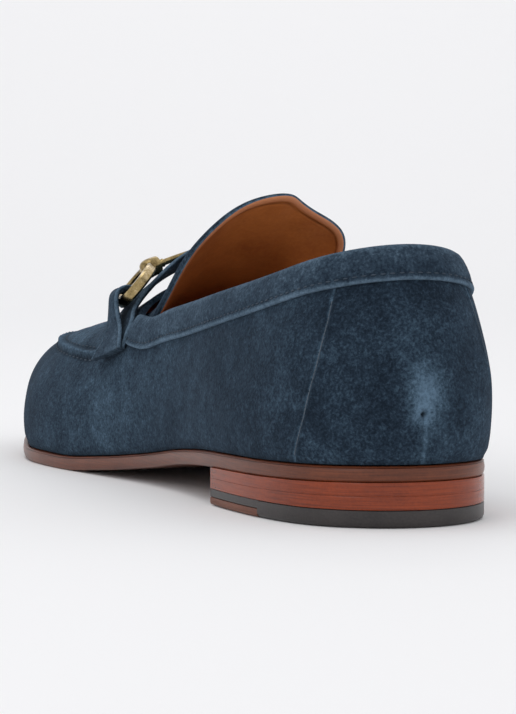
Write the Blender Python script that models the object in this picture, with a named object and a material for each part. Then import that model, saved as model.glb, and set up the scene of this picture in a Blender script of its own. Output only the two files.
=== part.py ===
"""Bit loafer, left shoe: a hollow suede upper on a leather sole with a low stacked heel.

World frame: +Y runs towards the toe, +X towards the inner (medial) side of the foot and +Z up.
The origin lies on the floor under the middle of the heel. All sizes are in metres.
"""

import math

import bmesh
import bpy
import numpy as np

# Driving sizes of the last and the sole
SOLE_LENGTH = 0.300
BALL_WIDTH = 0.0985
HEEL_WIDTH = 0.0655
HEEL_CENTRE = 0.035
INSTEP_HEIGHT = 0.0650
COLLAR_HEIGHT = 0.0760
TOE_SPRING = 0.0095
WAIST_LIFT = 0.0095
SEAT_HEIGHT_BACK = 0.0125
SEAT_HEIGHT_BREAST = 0.0110

# Thicknesses of the stock
SOLE_THICKNESS = 0.0045
INSOLE_THICKNESS = 0.0030
UPPER_WALL = 0.0020
TONGUE_WALL = 0.0022
BAND_THICKNESS = 0.0013
STRAP_THICKNESS = 0.0016
RUBBER_THICKNESS = 0.0050
CLEARANCE = 0.0003
WELD = 0.00001

# Heel
BREAST_LATERAL = 0.0716
BREAST_MEDIAL = 0.0664
LIFTS = 2
INLAY_LENGTH = 0.0336
INLAY_THICKNESS = 0.0026
TOP_PIECE_ROUND = 0.0010
SOLE_BEVEL = 0.0006

# Collar band, apron seam and tongue
BAND_WIDTH = 0.0100
BAND_END = 0.505
BAND_ROWS = 3
APRON_SEAM_HEIGHT = 0.0011
APRON_SEAM_WIDTH = 0.0040
APRON_SHARE = 0.62
APRON_FADE = 0.020
APRON_START = 0.500
APRON_RUN = 0.060
TONGUE_TUCK = 0.0100
TONGUE_GAP = 0.0011
TONGUE_FLARE_LATERAL = 0.0058
TONGUE_FLARE_MEDIAL = 0.0120
FLARE_START_LATERAL = 0.014
FLARE_START_MEDIAL = 0.030
FLARE_RUN = 0.100
FLARE_CLIMB = 0.20
TONGUE_LOW_CLIMB = 0.40
TONGUE_COLUMNS = 24
TONGUE_ROWS = 8

# Saddle strap, its tabs and the metal bit
SADDLE_STATION = 0.550
SADDLE_CENTRE = -0.0020
STRAP_FOOT_WIDTH = 0.0200
STRAP_WIDTH = 0.0160
STRAP_FOOT_CLIMB = 0.33
STRAP_LEAVES_CLIMB = 0.42
RING_CLIMB = 0.58
FOOT_BACK = 0.013
FOOT_UPRIGHT_CLIMB = 0.52
TAB_WIDTH = 0.0134
TAB_NECK_WIDTH = 0.0140
TAB_FOOT_CLIMB = 0.32
TAB_LEAVES_CLIMB = 0.38
TAB_FOLD = (45, 80, 115, 150, 180)
RING_LENGTH = 0.0240
RING_WIDTH = 0.0175
RING_STOCK = 0.0034
RING_ACROSS = 0.0245
RING_LIFT = 0.0012
RING_TILT = math.radians(50)
BAR_DIAMETER = 0.0020
BAR_BOW = 0.0030
KNUCKLE_DIAMETER = 0.0062
KNUCKLE_LENGTH = 0.0075

# Sections of the upper's mesh
STATIONS_BACK = 22
STATIONS_THROAT = 10
STATIONS_FRONT = 20
SOLE_COLUMNS = 56
HEEL_COLUMNS = 20
INLAY_COLUMNS = 6
STRAP_COLUMNS = 4
STRAP_ROWS = 30
FOOT_ROWS = 4
TAB_ROWS = 18
RING_SEGMENTS = 28
BAR_SEGMENTS = 20
WALL_ROWS = [0.0, 0.07, 0.20, 0.33, 0.46, 0.70, 0.79, 0.87, 0.94, 1.0]

# Direction that the first point of a tube's section is square to, and the two sides of the shoe
TUBE_REFERENCE = (0, 0.35, 1)
LATERAL = -1
MEDIAL = 1

# Smoothness of the mesh and steps of the numerical slopes and searches
SHARP_ANGLE = math.radians(40)
RING_SIDES = 8
BAR_SIDES = 10
SLOPE_STEP = 0.0001
NORMAL_STEP = 0.001
SADDLE_STEP = 0.030
CLIMB_SAMPLES = 201
THROAT_SEARCH = (0.5, 0.7)
THROAT_HALVINGS = 40

# Columns of the tables. The first column of a table by station is the station.
STATION = 0
CENTRE, OF_HEEL, OF_BALL = 1, 2, 3
SEAT_BACK, SEAT_BREAST, WAIST, TOE = 1, 2, 3, 4
RIDGE_ALONG, RIDGE_ACROSS, RIDGE_HEIGHT = 1, 2, 3
SWELL_LATERAL, SWELL_MEDIAL = 4, 5
PULL_FOOT, PULL_RIDGE, FALL = 6, 7, 8
EDGE_HEIGHT = 1
ROUND_ARCH = 0
EDGE_LATERAL, EDGE_MEDIAL = 1, 2
FLARE_LATERAL, FLARE_MEDIAL = 3, 4
SEAM_CLIMB = 1
BRIDGE_ACROSS, BRIDGE_HEIGHT = 0, 1
MARGIN_SHARE = 1

# Outline of the sole: station as a share of length, centre line as a share of ball width,
# then the half width as shares of half the heel width and of half the ball width.
OUTLINE = np.array([
    (0.00, 0.022, 0.000, 0.000),
    (0.02, 0.020, 0.535, 0.000),
    (0.05, 0.016, 0.780, 0.000),
    (0.10, 0.009, 0.940, 0.000),
    (0.17, -0.004, 1.000, 0.000),
    (0.25, -0.020, 0.985, 0.000),
    (0.35, -0.036, 0.700, 0.155),
    (0.45, -0.052, 0.360, 0.400),
    (0.55, -0.054, 0.100, 0.695),
    (0.62, -0.047, 0.000, 0.873),
    (0.68, -0.031, 0.000, 0.960),
    (0.74, -0.014, 0.000, 1.000),
    (0.80, 0.004, 0.000, 0.960),
    (0.86, 0.022, 0.000, 0.856),
    (0.91, 0.036, 0.000, 0.704),
    (0.95, 0.042, 0.000, 0.538),
    (0.98, 0.050, 0.000, 0.325),
    (1.00, 0.058, 0.000, 0.000),
])

# Underside of the outsole over the floor: station, then shares of the seat height at the back,
# of the seat height at the breast, of the waist lift and of the toe spring.
RISE = np.array([
    (0.00, 1.00, 0.00, 0.00, 0.00),
    (0.12, 0.50, 0.50, 0.00, 0.00),
    (0.24, 0.00, 1.00, 0.00, 0.00),
    (0.34, 0.00, 0.00, 0.95, 0.00),
    (0.44, 0.00, 0.00, 0.55, 0.00),
    (0.54, 0.00, 0.00, 0.20, 0.00),
    (0.63, 0.00, 0.00, 0.00, 0.00),
    (0.72, 0.00, 0.00, 0.00, 0.00),
    (0.82, 0.00, 0.00, 0.00, 0.20),
    (0.92, 0.00, 0.00, 0.00, 0.60),
    (1.00, 0.00, 0.00, 0.00, 1.00),
])

# Sections of the last. Each runs from the outline at its station up to the ridge of the last.
# Columns: station, ridge place along the length, ridge place across as a share of ball width,
# ridge height as a share of instep height, swell at the foot of the lateral and the medial wall
# as shares of ball width, pull of the foot and of the ridge as shares of the section's height
# and half width, and how far the wall falls beside the ridge as a share of the height.
SECTIONS = np.array([
    (0.00, 0.100, 0.010, 1.760, 0.076, 0.076, 0.36, 0.53, 0.30),
    (0.05, 0.110, 0.006, 1.760, 0.074, 0.086, 0.38, 0.52, 0.30),
    (0.12, 0.145, 0.004, 1.760, 0.060, 0.080, 0.38, 0.56, 0.30),
    (0.20, 0.205, 0.015, 1.740, 0.050, 0.072, 0.38, 0.67, 0.28),
    (0.30, 0.290, 0.035, 1.660, 0.042, 0.085, 0.42, 0.72, 0.16),
    (0.40, 0.360, 0.045, 1.480, 0.040, 0.100, 0.48, 0.70, 0.06),
    (0.48, 0.430, 0.032, 1.270, 0.040, 0.095, 0.52, 0.62, 0.02),
    (0.54, 0.495, 0.022, 1.085, 0.040, 0.078, 0.55, 0.56, 0.00),
    (0.60, 0.555, 0.018, 0.965, 0.042, 0.060, 0.58, 0.52, 0.00),
    (0.68, 0.630, 0.018, 0.860, 0.044, 0.048, 0.62, 0.52, 0.00),
    (0.76, 0.695, 0.024, 0.780, 0.046, 0.046, 0.70, 0.60, 0.00),
    (0.84, 0.755, 0.034, 0.725, 0.046, 0.044, 0.78, 0.70, 0.00),
    (0.92, 0.810, 0.044, 0.685, 0.046, 0.044, 0.82, 0.76, 0.00),
    (1.00, 0.850, 0.052, 0.655, 0.046, 0.044, 0.82, 0.78, 0.00),
])

# Edge of the upper over the floor as a share of collar height, by station of the outline.
# Where the edge would lie over the ridge, the two sides of the vamp meet.
COLLAR = np.array([
    (0.00, 1.000),
    (0.06, 0.950),
    (0.13, 0.890),
    (0.20, 0.838),
    (0.30, 0.775),
    (0.40, 0.720),
    (0.47, 0.675),
    (0.52, 0.680),
    (0.57, 0.760),
    (0.60, 0.850),
    (0.63, 1.000),
    (1.00, 1.000),
])

# Climb of the apron's seam on the last, by station of the outline
APRON = np.array([
    (0.000, 0.380),
    (0.540, 0.380),
    (0.590, 0.380),
    (0.655, 0.415),
    (0.755, 0.480),
    (0.850, 0.535),
    (0.930, 0.575),
    (1.000, 0.600),
])

# Back edge of the tongue: how far round its arch from the ridge, then the station of the edge on
# the lateral and the medial side, and the share of each side's flare that the tongue has there
TONGUE_EDGE = np.array([
    (0.00, 0.416, 0.416, 0.00, 0.00),
    (0.20, 0.411, 0.414, 0.19, 0.02),
    (0.40, 0.404, 0.408, 0.46, 0.14),
    (0.58, 0.408, 0.404, 0.62, 0.62),
    (0.74, 0.430, 0.413, 0.94, 0.98),
    (0.88, 0.468, 0.448, 1.00, 1.00),
    (1.00, 0.510, 0.502, 1.00, 1.00),
])

# Free part of the saddle strap's upper face, from where it leaves the wall to the middle of the
# bridge: place across from the bridge's middle as a share of ball width, height as a share of
# instep height, and the climb at which the last runs in the strap's direction across.
BRIDGE = np.array([
    (0.312, 0.792, 0.47),
    (0.230, 0.936, 0.58),
    (0.152, 1.030, 0.70),
    (0.067, 1.090, 0.84),
    (0.000, 1.108, 1.00),
])

# How far the sole stands out beyond the upper, as a share of the sole's thickness, by station
MARGIN = np.array([
    (0.00, -0.10),
    (0.20, 0.05),
    (0.45, 0.15),
    (0.75, 0.15),
    (1.00, 0.15),
])


def spline(rows, column, at):
    """Natural cubic through one column of a table whose first column is the station."""
    knots = rows[:, STATION]
    values = rows[:, column]
    return natural_cubic(knots, values, at)


def natural_cubic(knots, values, at):
    steps = np.diff(knots)
    slopes = np.diff(values) / steps
    count = len(knots)
    matrix = np.eye(count)
    right = np.zeros(count)
    for row in range(1, count - 1):
        matrix[row, row - 1] = steps[row - 1]
        matrix[row, row] = 2 * (steps[row - 1] + steps[row])
        matrix[row, row + 1] = steps[row]
        right[row] = 6 * (slopes[row] - slopes[row - 1])
    bend = np.linalg.solve(matrix, right)
    at = np.asarray(at, float)
    index = np.clip(np.searchsorted(knots, at, side="right") - 1, 0, count - 2)
    left = at - knots[index]
    step = steps[index]
    slope = slopes[index] - step * (2 * bend[index] + bend[index + 1]) / 6
    cubic = (bend[index + 1] - bend[index]) / (6 * step)
    return values[index] + slope * left + bend[index] / 2 * left ** 2 + cubic * left ** 3


def monotone_cubic(knots, values, at):
    """Cubic through the values that never overshoots them."""
    steps = np.diff(knots)
    slopes = np.diff(values) / steps
    tangents = np.zeros(len(knots))
    for row in range(1, len(knots) - 1):
        if slopes[row - 1] * slopes[row] > 0:
            first = 2 * steps[row] + steps[row - 1]
            second = steps[row] + 2 * steps[row - 1]
            tangents[row] = (first + second) / (first / slopes[row - 1] + second / slopes[row])
    tangents[0] = slopes[0]
    tangents[-1] = slopes[-1]
    at = np.clip(np.asarray(at, float), knots[0], knots[-1])
    index = np.clip(np.searchsorted(knots, at, side="right") - 1, 0, len(knots) - 2)
    step = steps[index]
    share = (at - knots[index]) / step
    start = (1 + 2 * share) * (1 - share) ** 2 * values[index]
    leave = share * (1 - share) ** 2 * step * tangents[index]
    end = share ** 2 * (3 - 2 * share) * values[index + 1]
    arrive = share ** 2 * (share - 1) * step * tangents[index + 1]
    return start + leave + end + arrive


def outline_point(side, turn):
    """Point of the sole's outline; turn runs from 0 at the heel to 1 at the toe."""
    angle = np.pi * np.asarray(turn, float)
    knots = np.arccos(1 - 2 * OUTLINE[:, STATION])
    centre = natural_cubic(knots, OUTLINE[:, CENTRE] * BALL_WIDTH, angle)
    half_widths = OUTLINE[:, OF_HEEL] * HEEL_WIDTH / 2 + OUTLINE[:, OF_BALL] * BALL_WIDTH / 2
    half_width = np.maximum(natural_cubic(knots, half_widths, angle), 0)
    along = (1 - np.cos(angle)) / 2 * SOLE_LENGTH
    return np.stack([centre + side * half_width, along], -1)


def outline_normal(side, turn):
    """Outward direction of the outline, straight back at the heel's end and ahead at the toe's."""
    step = SLOPE_STEP
    turn = np.asarray(turn, float)
    inside = np.clip(turn, 2 * step, 1 - 2 * step)
    along = outline_point(side, inside + step) - outline_point(side, inside - step)
    normal = np.stack([along[..., 1], -along[..., 0]], -1) * side
    normal[..., 0] *= (turn > step) & (turn < 1 - step)
    return normal / np.linalg.norm(normal, axis=-1, keepdims=True)


def turn_at(station):
    return np.arccos(1 - 2 * np.asarray(station, float)) / np.pi


def rise(along):
    """Height of the outsole's underside over the floor."""
    heights = RISE[:, SEAT_BACK] * SEAT_HEIGHT_BACK + RISE[:, SEAT_BREAST] * SEAT_HEIGHT_BREAST
    heights = heights + RISE[:, WAIST] * WAIST_LIFT + RISE[:, TOE] * TOE_SPRING
    return monotone_cubic(RISE[:, STATION] * SOLE_LENGTH, heights, along)


def sole_top(along):
    return rise(along) + SOLE_THICKNESS


def wall_foot(side, turn):
    """Where the upper's outer face meets the sole, and the outward direction there."""
    point = outline_point(side, turn)
    normal = outline_normal(side, turn)
    margin = spline(MARGIN, MARGIN_SHARE, point[..., 1] / SOLE_LENGTH) * SOLE_THICKNESS
    foot = point - normal * margin[..., None]
    return foot, normal


def last_point(side, turn, climb):
    """Point of the last's surface; climb runs from 0 at the sole to 1 at the ridge."""
    turn, climb = np.broadcast_arrays(np.asarray(turn, float), np.asarray(climb, float))
    foot, normal = wall_foot(side, turn)
    station = (1 - np.cos(np.pi * turn)) / 2
    base = sole_top(foot[..., 1]) + CLEARANCE
    ridge_along = spline(SECTIONS, RIDGE_ALONG, station) * SOLE_LENGTH
    ridge_across = spline(SECTIONS, RIDGE_ACROSS, station) * BALL_WIDTH
    ridge_height = spline(SECTIONS, RIDGE_HEIGHT, station) * INSTEP_HEIGHT
    swell_column = SWELL_LATERAL if side == LATERAL else SWELL_MEDIAL
    swell = spline(SECTIONS, swell_column, station) * BALL_WIDTH
    pull_foot = spline(SECTIONS, PULL_FOOT, station)
    pull_ridge = spline(SECTIONS, PULL_RIDGE, station)
    fall = spline(SECTIONS, FALL, station)
    tall = ridge_height - base
    start = np.concatenate([foot, base[..., None]], -1)
    end = np.stack([ridge_across, ridge_along, ridge_height], -1)
    first = start.copy()
    first[..., :2] += normal * swell[..., None]
    first[..., 2] += tall * pull_foot
    second = end.copy()
    second[..., :2] += (foot - end[..., :2]) * pull_ridge[..., None]
    second[..., 2] -= tall * fall
    up = climb[..., None]
    down = 1 - up
    return start * down ** 3 + first * 3 * up * down ** 2 + second * 3 * up ** 2 * down + end * up ** 3


def edge_height(station):
    """Height of the upper's edge over the floor."""
    return float(monotone_cubic(COLLAR[:, STATION], COLLAR[:, EDGE_HEIGHT], station)) * COLLAR_HEIGHT


def collar_climb(side, turn):
    """Climb at which the upper ends: 1 where the two sides meet on the ridge."""
    turn = float(turn)
    height = edge_height((1 - math.cos(math.pi * turn)) / 2)
    climbs = np.linspace(0, 1, CLIMB_SAMPLES)
    heights = last_point(side, turn, climbs)[:, 2]
    if heights.max() <= height:
        return 1.0
    above = int(np.argmax(heights > height))
    share = (height - heights[above - 1]) / (heights[above] - heights[above - 1])
    return float(climbs[above - 1] + share * (climbs[above] - climbs[above - 1]))


def last_normal(side, turn, climb):
    step = NORMAL_STEP
    turn, climb = np.broadcast_arrays(np.asarray(turn, float), np.asarray(climb, float))
    turn = np.clip(turn, step, 1 - step)
    climb = np.clip(climb, step, 1 - step)
    along = last_point(side, turn + step / 2, climb) - last_point(side, turn - step / 2, climb)
    up = last_point(side, turn, climb + step / 2) - last_point(side, turn, climb - step / 2)
    normal = np.cross(along, up) * side
    return normal / np.linalg.norm(normal, axis=-1, keepdims=True)


def skin_point(side, turn, climb, offset):
    """Point at a distance outside the last's surface, or inside it where the offset is negative."""
    turn, climb = np.broadcast_arrays(np.asarray(turn, float), np.asarray(climb, float))
    normal = last_normal(side, turn, climb)
    other = last_normal(-side, turn, climb)
    ends = (climb > 1 - NORMAL_STEP) | (turn < NORMAL_STEP) | (turn > 1 - NORMAL_STEP)
    joined = normal + np.where(ends[..., None], other, 0)
    joined = joined / np.linalg.norm(joined, axis=-1, keepdims=True)
    return last_point(side, turn, climb) + joined * offset


def climb_below(side, turn, distance):
    """Climb of the point that lies the given distance down the wall from the upper's edge."""
    climbs = np.linspace(0, collar_climb(side, turn), CLIMB_SAMPLES)
    points = last_point(side, turn, climbs)
    steps = np.linalg.norm(np.diff(points, axis=0), axis=1)
    below = np.concatenate([[0], np.cumsum(steps[::-1])])[::-1]
    return float(np.interp(distance, below[::-1], climbs[::-1]))


def throat_station():
    """Station at which the upper's edge comes to the ridge."""
    low, high = THROAT_SEARCH
    for _ in range(THROAT_HALVINGS):
        middle = (low + high) / 2
        ridge = float(spline(SECTIONS, RIDGE_HEIGHT, middle)) * INSTEP_HEIGHT
        if edge_height(middle) < ridge:
            low = middle
        else:
            high = middle
    return high


def material(name, colour, roughness, metallic=0.0):
    made = bpy.data.materials.new(name)
    made.use_nodes = True
    shader = made.node_tree.nodes["Principled BSDF"]
    shader.inputs["Base Color"].default_value = (*colour, 1)
    shader.inputs["Roughness"].default_value = roughness
    shader.inputs["Metallic"].default_value = metallic
    return made


def solid(name, points, faces, finish, smooth=True):
    """Mesh object from points of the last's frame, moved so that the heel stands over the origin."""
    mesh = bpy.data.meshes.new(name)
    shift = np.array([0, HEEL_CENTRE, 0])
    mesh.from_pydata([tuple(point - shift) for point in points], [], faces)
    shape = bmesh.new()
    shape.from_mesh(mesh)
    bmesh.ops.remove_doubles(shape, verts=shape.verts, dist=WELD)
    bmesh.ops.recalc_face_normals(shape, faces=shape.faces)
    shape.to_mesh(mesh)
    shape.free()
    if smooth:
        mesh.shade_smooth()
        mesh.set_sharp_from_angle(angle=SHARP_ANGLE)
    item = bpy.data.objects.new(name, mesh)
    mesh.materials.append(finish)
    bpy.context.scene.collection.objects.link(item)
    return item


def closed_sheet(outer, inner):
    """Points and faces of a closed solid between two grids of the same rows and columns."""
    rows, columns = outer.shape[:2]
    points = np.concatenate([outer.reshape(-1, 3), inner.reshape(-1, 3)])
    layer = rows * columns
    faces = []
    for row in range(rows - 1):
        for column in range(columns - 1):
            corner = row * columns + column
            face = (corner, corner + 1, corner + columns + 1, corner + columns)
            faces.append(face)
            faces.append(tuple(layer + index for index in reversed(face)))
    rim = [(0, column) for column in range(columns)]
    rim += [(row, columns - 1) for row in range(1, rows)]
    rim += [(rows - 1, column) for column in range(columns - 2, -1, -1)]
    rim += [(row, 0) for row in range(rows - 2, 0, -1)]
    indices = [row * columns + column for row, column in rim]
    for here, there in zip(indices, indices[1:] + indices[:1]):
        faces.append((there, here, layer + here, layer + there))
    return points, faces


def station_turns():
    """Turns at which the upper is sectioned, with one on the throat."""
    saddle = float(turn_at(BAND_END))
    throat = float(turn_at(throat_station()))
    back = np.linspace(0, saddle, STATIONS_BACK + 1)
    edge = np.linspace(saddle, throat, STATIONS_THROAT + 1)
    front = np.linspace(throat, 1, STATIONS_FRONT + 1)
    return np.concatenate([back, edge[1:], front[1:]]), STATIONS_BACK + STATIONS_THROAT


def climb_at(turn, share, level):
    """Climb of a row of the wall, drawn towards the apron's seam where the wall has one."""
    station = (1 - math.cos(math.pi * turn)) / 2
    drawn = min(max((station - APRON_START) / APRON_RUN, 0), 1)
    seam = float(monotone_cubic(APRON[:, STATION], APRON[:, SEAM_CLIMB], station))
    seam = APRON_SHARE * level + (seam - APRON_SHARE * level) * drawn
    return float(np.interp(share, (0, APRON_SHARE, 1), (0, seam, level)))


def seam_lift(turn, share):
    """Height of the apron's raised seam over the wall, by share of the way up the wall."""
    station = (1 - math.cos(math.pi * turn)) / 2
    start = throat_station()
    fade = min(max((station - start) / APRON_FADE, 0), 1)
    return APRON_SEAM_HEIGHT * fade * (share == APRON_SHARE)


def upper(finish):
    """Hollow vamp and quarters in one wall, open at the collar, the throat and underneath."""
    turns, throat = station_turns()
    seam_half = APRON_SEAM_WIDTH / 2 / (INSTEP_HEIGHT + BALL_WIDTH / 2)
    shares = np.array(WALL_ROWS + [APRON_SHARE - seam_half, APRON_SHARE, APRON_SHARE + seam_half])
    shares.sort()
    rows = len(shares)
    points = []
    faces = []
    grid = {}
    for side in (LATERAL, MEDIAL):
        for column, turn in enumerate(turns):
            climb = collar_climb(side, turn) if column < throat else 1.0
            for row, share in enumerate(shares):
                on_ridge = column >= throat and row == rows - 1
                if side == MEDIAL and (column in (0, len(turns) - 1) or on_ridge):
                    grid[side, column, row] = grid[LATERAL, column, row]
                    continue
                lift = seam_lift(turn, share)
                grid[side, column, row] = len(points)
                points.append(skin_point(side, turn, climb_at(turn, share, climb), lift))
    for side in (LATERAL, MEDIAL):
        for column in range(len(turns) - 1):
            for row in range(rows - 1):
                face = [grid[side, column, row], grid[side, column + 1, row],
                        grid[side, column + 1, row + 1], grid[side, column, row + 1]]
                face = face[::side]
                faces.append(tuple(dict.fromkeys(face)))
    mesh = bpy.data.meshes.new("outer wall")
    mesh.from_pydata([tuple(point) for point in points], [], faces)
    normals = np.array([tuple(normal.vector) for normal in mesh.vertex_normals])
    bpy.data.meshes.remove(mesh)
    outer = np.array(points)
    feet = [grid[side, column, 0] for side in (LATERAL, MEDIAL) for column in range(len(turns))]
    normals[feet, 2] = 0
    normals[feet] /= np.linalg.norm(normals[feet], axis=1, keepdims=True)
    inner = outer - normals * UPPER_WALL
    count = len(outer)
    faces += [tuple(count + index for index in reversed(face)) for face in faces]
    loops = [[grid[LATERAL, column, 0] for column in range(len(turns))]
             + [grid[MEDIAL, column, 0] for column in range(len(turns) - 2, 0, -1)],
             [grid[LATERAL, column, rows - 1] for column in range(throat + 1)]
             + [grid[MEDIAL, column, rows - 1] for column in range(throat - 1, 0, -1)]]
    for loop in loops:
        for here, there in zip(loop, loop[1:] + loop[:1]):
            faces.append((here, there, count + there, count + here))
    return solid("upper", np.concatenate([outer, inner]), faces, finish)


def collar_band(finish):
    """Folded suede strip stitched round the edge of the quarters, from saddle to saddle."""
    turns, _ = station_turns()
    shown = [turn for turn in turns if (1 - math.cos(math.pi * turn)) / 2 < BAND_END + WELD]
    round_heel = [(LATERAL, turn) for turn in reversed(shown)] + [(MEDIAL, turn) for turn in shown[1:]]
    outer = []
    inner = []
    for side, turn in round_heel:
        climbs = np.array([climb_below(side, turn, BAND_WIDTH * (1 - row / BAND_ROWS))
                           for row in range(BAND_ROWS + 1)])
        inner.append(skin_point(side, turn, climbs, CLEARANCE))
        outer.append(skin_point(side, turn, climbs, CLEARANCE + BAND_THICKNESS))
    points, faces = closed_sheet(np.array(outer), np.array(inner))
    return solid("collar_band", points, faces, finish)


def tongue(finish):
    """Tall flap on the instep, tucked under the throat and open towards the heel."""
    base = throat_station() + TONGUE_TUCK / SOLE_LENGTH
    outer = []
    for across in np.linspace(-1, 1, TONGUE_COLUMNS + 1):
        side = LATERAL if across < 0 else MEDIAL
        edge_column, share_column, flare = EDGE_LATERAL, FLARE_LATERAL, TONGUE_FLARE_LATERAL
        flare_start = SADDLE_STATION - FLARE_START_LATERAL
        if side == MEDIAL:
            edge_column, share_column, flare = EDGE_MEDIAL, FLARE_MEDIAL, TONGUE_FLARE_MEDIAL
            flare_start = SADDLE_STATION - FLARE_START_MEDIAL
        arch = TONGUE_EDGE[:, ROUND_ARCH]
        edge = natural_cubic(arch, TONGUE_EDGE[:, edge_column], abs(across))
        flare *= float(monotone_cubic(arch, TONGUE_EDGE[:, share_column], abs(across)))
        climb = 1 - (1 - TONGUE_LOW_CLIMB) * abs(across)
        turns = turn_at(np.linspace(base, edge, TONGUE_ROWS + 1))
        column = []
        for turn in turns:
            station = (1 - math.cos(math.pi * turn)) / 2
            behind = min(max((flare_start - station) / FLARE_RUN, 0), 1)
            above = min(max((climb - collar_climb(side, turn)) / FLARE_CLIMB, 0), 1)
            stand = flare * behind ** 2 * (3 - 2 * behind) * above
            column.append(skin_point(side, turn, climb, stand - UPPER_WALL - TONGUE_GAP))
        outer.append(column)
    outer = np.array(outer)
    along = np.gradient(outer, axis=1)
    across = np.gradient(outer, axis=0)
    normals = np.cross(across, along)
    normals /= np.linalg.norm(normals, axis=-1, keepdims=True)
    middle = normals[TONGUE_COLUMNS // 2, TONGUE_ROWS // 2]
    if middle[2] < 0:
        normals = -normals
    points, faces = closed_sheet(outer, outer - normals * TONGUE_WALL)
    return solid("tongue", points, faces, finish)


def slab(name, rows, ends, finish, columns):
    """Plate of the sole's outline from top to underside.

    rows hold the inset from the outline and a function for the height, from the top down; ends
    give the first and last station of each side.
    """
    points = []
    faces = []
    loops = {}
    for side in (LATERAL, MEDIAL):
        first, last = (float(turn_at(end)) for end in ends[side])
        turns = np.linspace(first, last, columns + 1)
        for row, (inset, height) in enumerate(rows):
            insets = np.broadcast_to(inset(turns), turns.shape) if callable(inset) else inset
            edge = outline_point(side, turns) - outline_normal(side, turns) * np.reshape(insets, (-1, 1))
            loops[side, row] = [len(points) + index for index in range(columns + 1)]
            levels = np.broadcast_to(height(edge[:, 1]), edge[:, 1].shape)
            points.extend(np.concatenate([edge, levels[:, None]], 1))
    last_row = len(rows) - 1
    for column in range(columns):
        for side in (LATERAL, MEDIAL):
            for row in range(last_row):
                upper_loop = loops[side, row]
                lower_loop = loops[side, row + 1]
                faces.append((upper_loop[column], upper_loop[column + 1],
                              lower_loop[column + 1], lower_loop[column]))
        for row in (0, last_row):
            one = loops[LATERAL, row]
            other = loops[MEDIAL, row]
            faces.append((one[column], one[column + 1], other[column + 1], other[column]))
    for column in (0, columns):
        for row in range(last_row):
            faces.append((loops[LATERAL, row][column], loops[MEDIAL, row][column],
                          loops[MEDIAL, row + 1][column], loops[LATERAL, row + 1][column]))
    return solid(name, points, faces, finish)


def outsole(finish):
    """Thin leather sole along the whole shoe, with its upper edge broken by a small bevel."""
    def foot_edge(along):
        return rise(along) + SOLE_BEVEL

    def top_edge(along):
        return sole_top(along) - SOLE_BEVEL

    rows = [(SOLE_BEVEL, sole_top), (0, top_edge), (0, foot_edge), (SOLE_BEVEL, rise)]
    ends = {LATERAL: (0, 1), MEDIAL: (0, 1)}
    return slab("outsole", rows, ends, finish, SOLE_COLUMNS)


def insole(finish):
    """Sock of the footbed, lying on the sole inside the upper."""
    def inset(turns):
        station = (1 - np.cos(np.pi * turns)) / 2
        return spline(MARGIN, MARGIN_SHARE, station) * SOLE_THICKNESS + UPPER_WALL + 2 * CLEARANCE

    def foot(along):
        return sole_top(along) + CLEARANCE

    def top(along):
        return sole_top(along) + CLEARANCE + INSOLE_THICKNESS

    ends = {LATERAL: (0, 1), MEDIAL: (0, 1)}
    return slab("insole", [(inset, top), (inset, foot)], ends, finish, SOLE_COLUMNS)


def heel_ends(first):
    """First and last station of the heel on each side; the breast is nearer on the medial side."""
    return {LATERAL: (first, BREAST_LATERAL / SOLE_LENGTH),
            MEDIAL: (first, BREAST_MEDIAL / SOLE_LENGTH)}


def heel_level(share):
    """Height function of a joint in the heel: 0 at the rubber's top, 1 under the outsole."""
    def level(along):
        return RUBBER_THICKNESS + (rise(along) - RUBBER_THICKNESS) * share
    return level


def lifts(finishes):
    """Leather lifts of the stacked heel, each a wedge that thins towards the breast."""
    made = []
    for number in range(LIFTS):
        low = heel_level(number / LIFTS)
        high = heel_level((number + 1) / LIFTS)
        rows = [(0, lambda along, high=high: high(along) - CLEARANCE),
                (0, low)]
        name = f"heel_lift_{number + 1}"
        made.append(slab(name, rows, heel_ends(0), finishes[number], HEEL_COLUMNS))
    return made


def top_piece(rubber, leather):
    """Rubber heel tip with a leather inlay let into its underside at the breast."""
    def top(along):
        return np.full_like(along, RUBBER_THICKNESS - CLEARANCE)

    def side_foot(along):
        return np.full_like(along, TOP_PIECE_ROUND)

    def ground(along):
        return np.zeros_like(along)

    def inlay_top(along):
        return np.full_like(along, INLAY_THICKNESS)

    rows = [(0, top), (0, side_foot), (TOP_PIECE_ROUND, ground)]
    tip = slab("heel_top_piece", rows, heel_ends(0), rubber, HEEL_COLUMNS)
    seat = BREAST_LATERAL - INLAY_LENGTH
    bpy.ops.mesh.primitive_cube_add(size=1)
    cutter = bpy.context.object
    cutter.name = "inlay_cutter"
    reach = 2 * INLAY_LENGTH
    cutter.dimensions = (2 * HEEL_WIDTH, reach, 2 * (INLAY_THICKNESS + CLEARANCE))
    cutter.location = (0, seat - CLEARANCE + reach / 2 - HEEL_CENTRE, 0)
    cutter.hide_render = True
    cutter.display_type = "WIRE"
    cut = tip.modifiers.new("inlay seat", "BOOLEAN")
    cut.object = cutter
    cut.solver = "EXACT"
    inlay_rows = [(0, inlay_top), (0, side_foot), (TOP_PIECE_ROUND, ground)]
    inlay = slab("heel_inlay", inlay_rows, heel_ends(seat / SOLE_LENGTH), leather, INLAY_COLUMNS)
    return [tip, inlay]


def sheet_normals(grid):
    """Unit normals of a grid of points, pointing up at its middle."""
    normals = np.cross(np.gradient(grid, axis=0), np.gradient(grid, axis=1))
    normals /= np.linalg.norm(normals, axis=-1, keepdims=True)
    middle = normals[grid.shape[0] // 2, grid.shape[1] // 2]
    return normals if middle[2] > 0 else -normals


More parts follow.
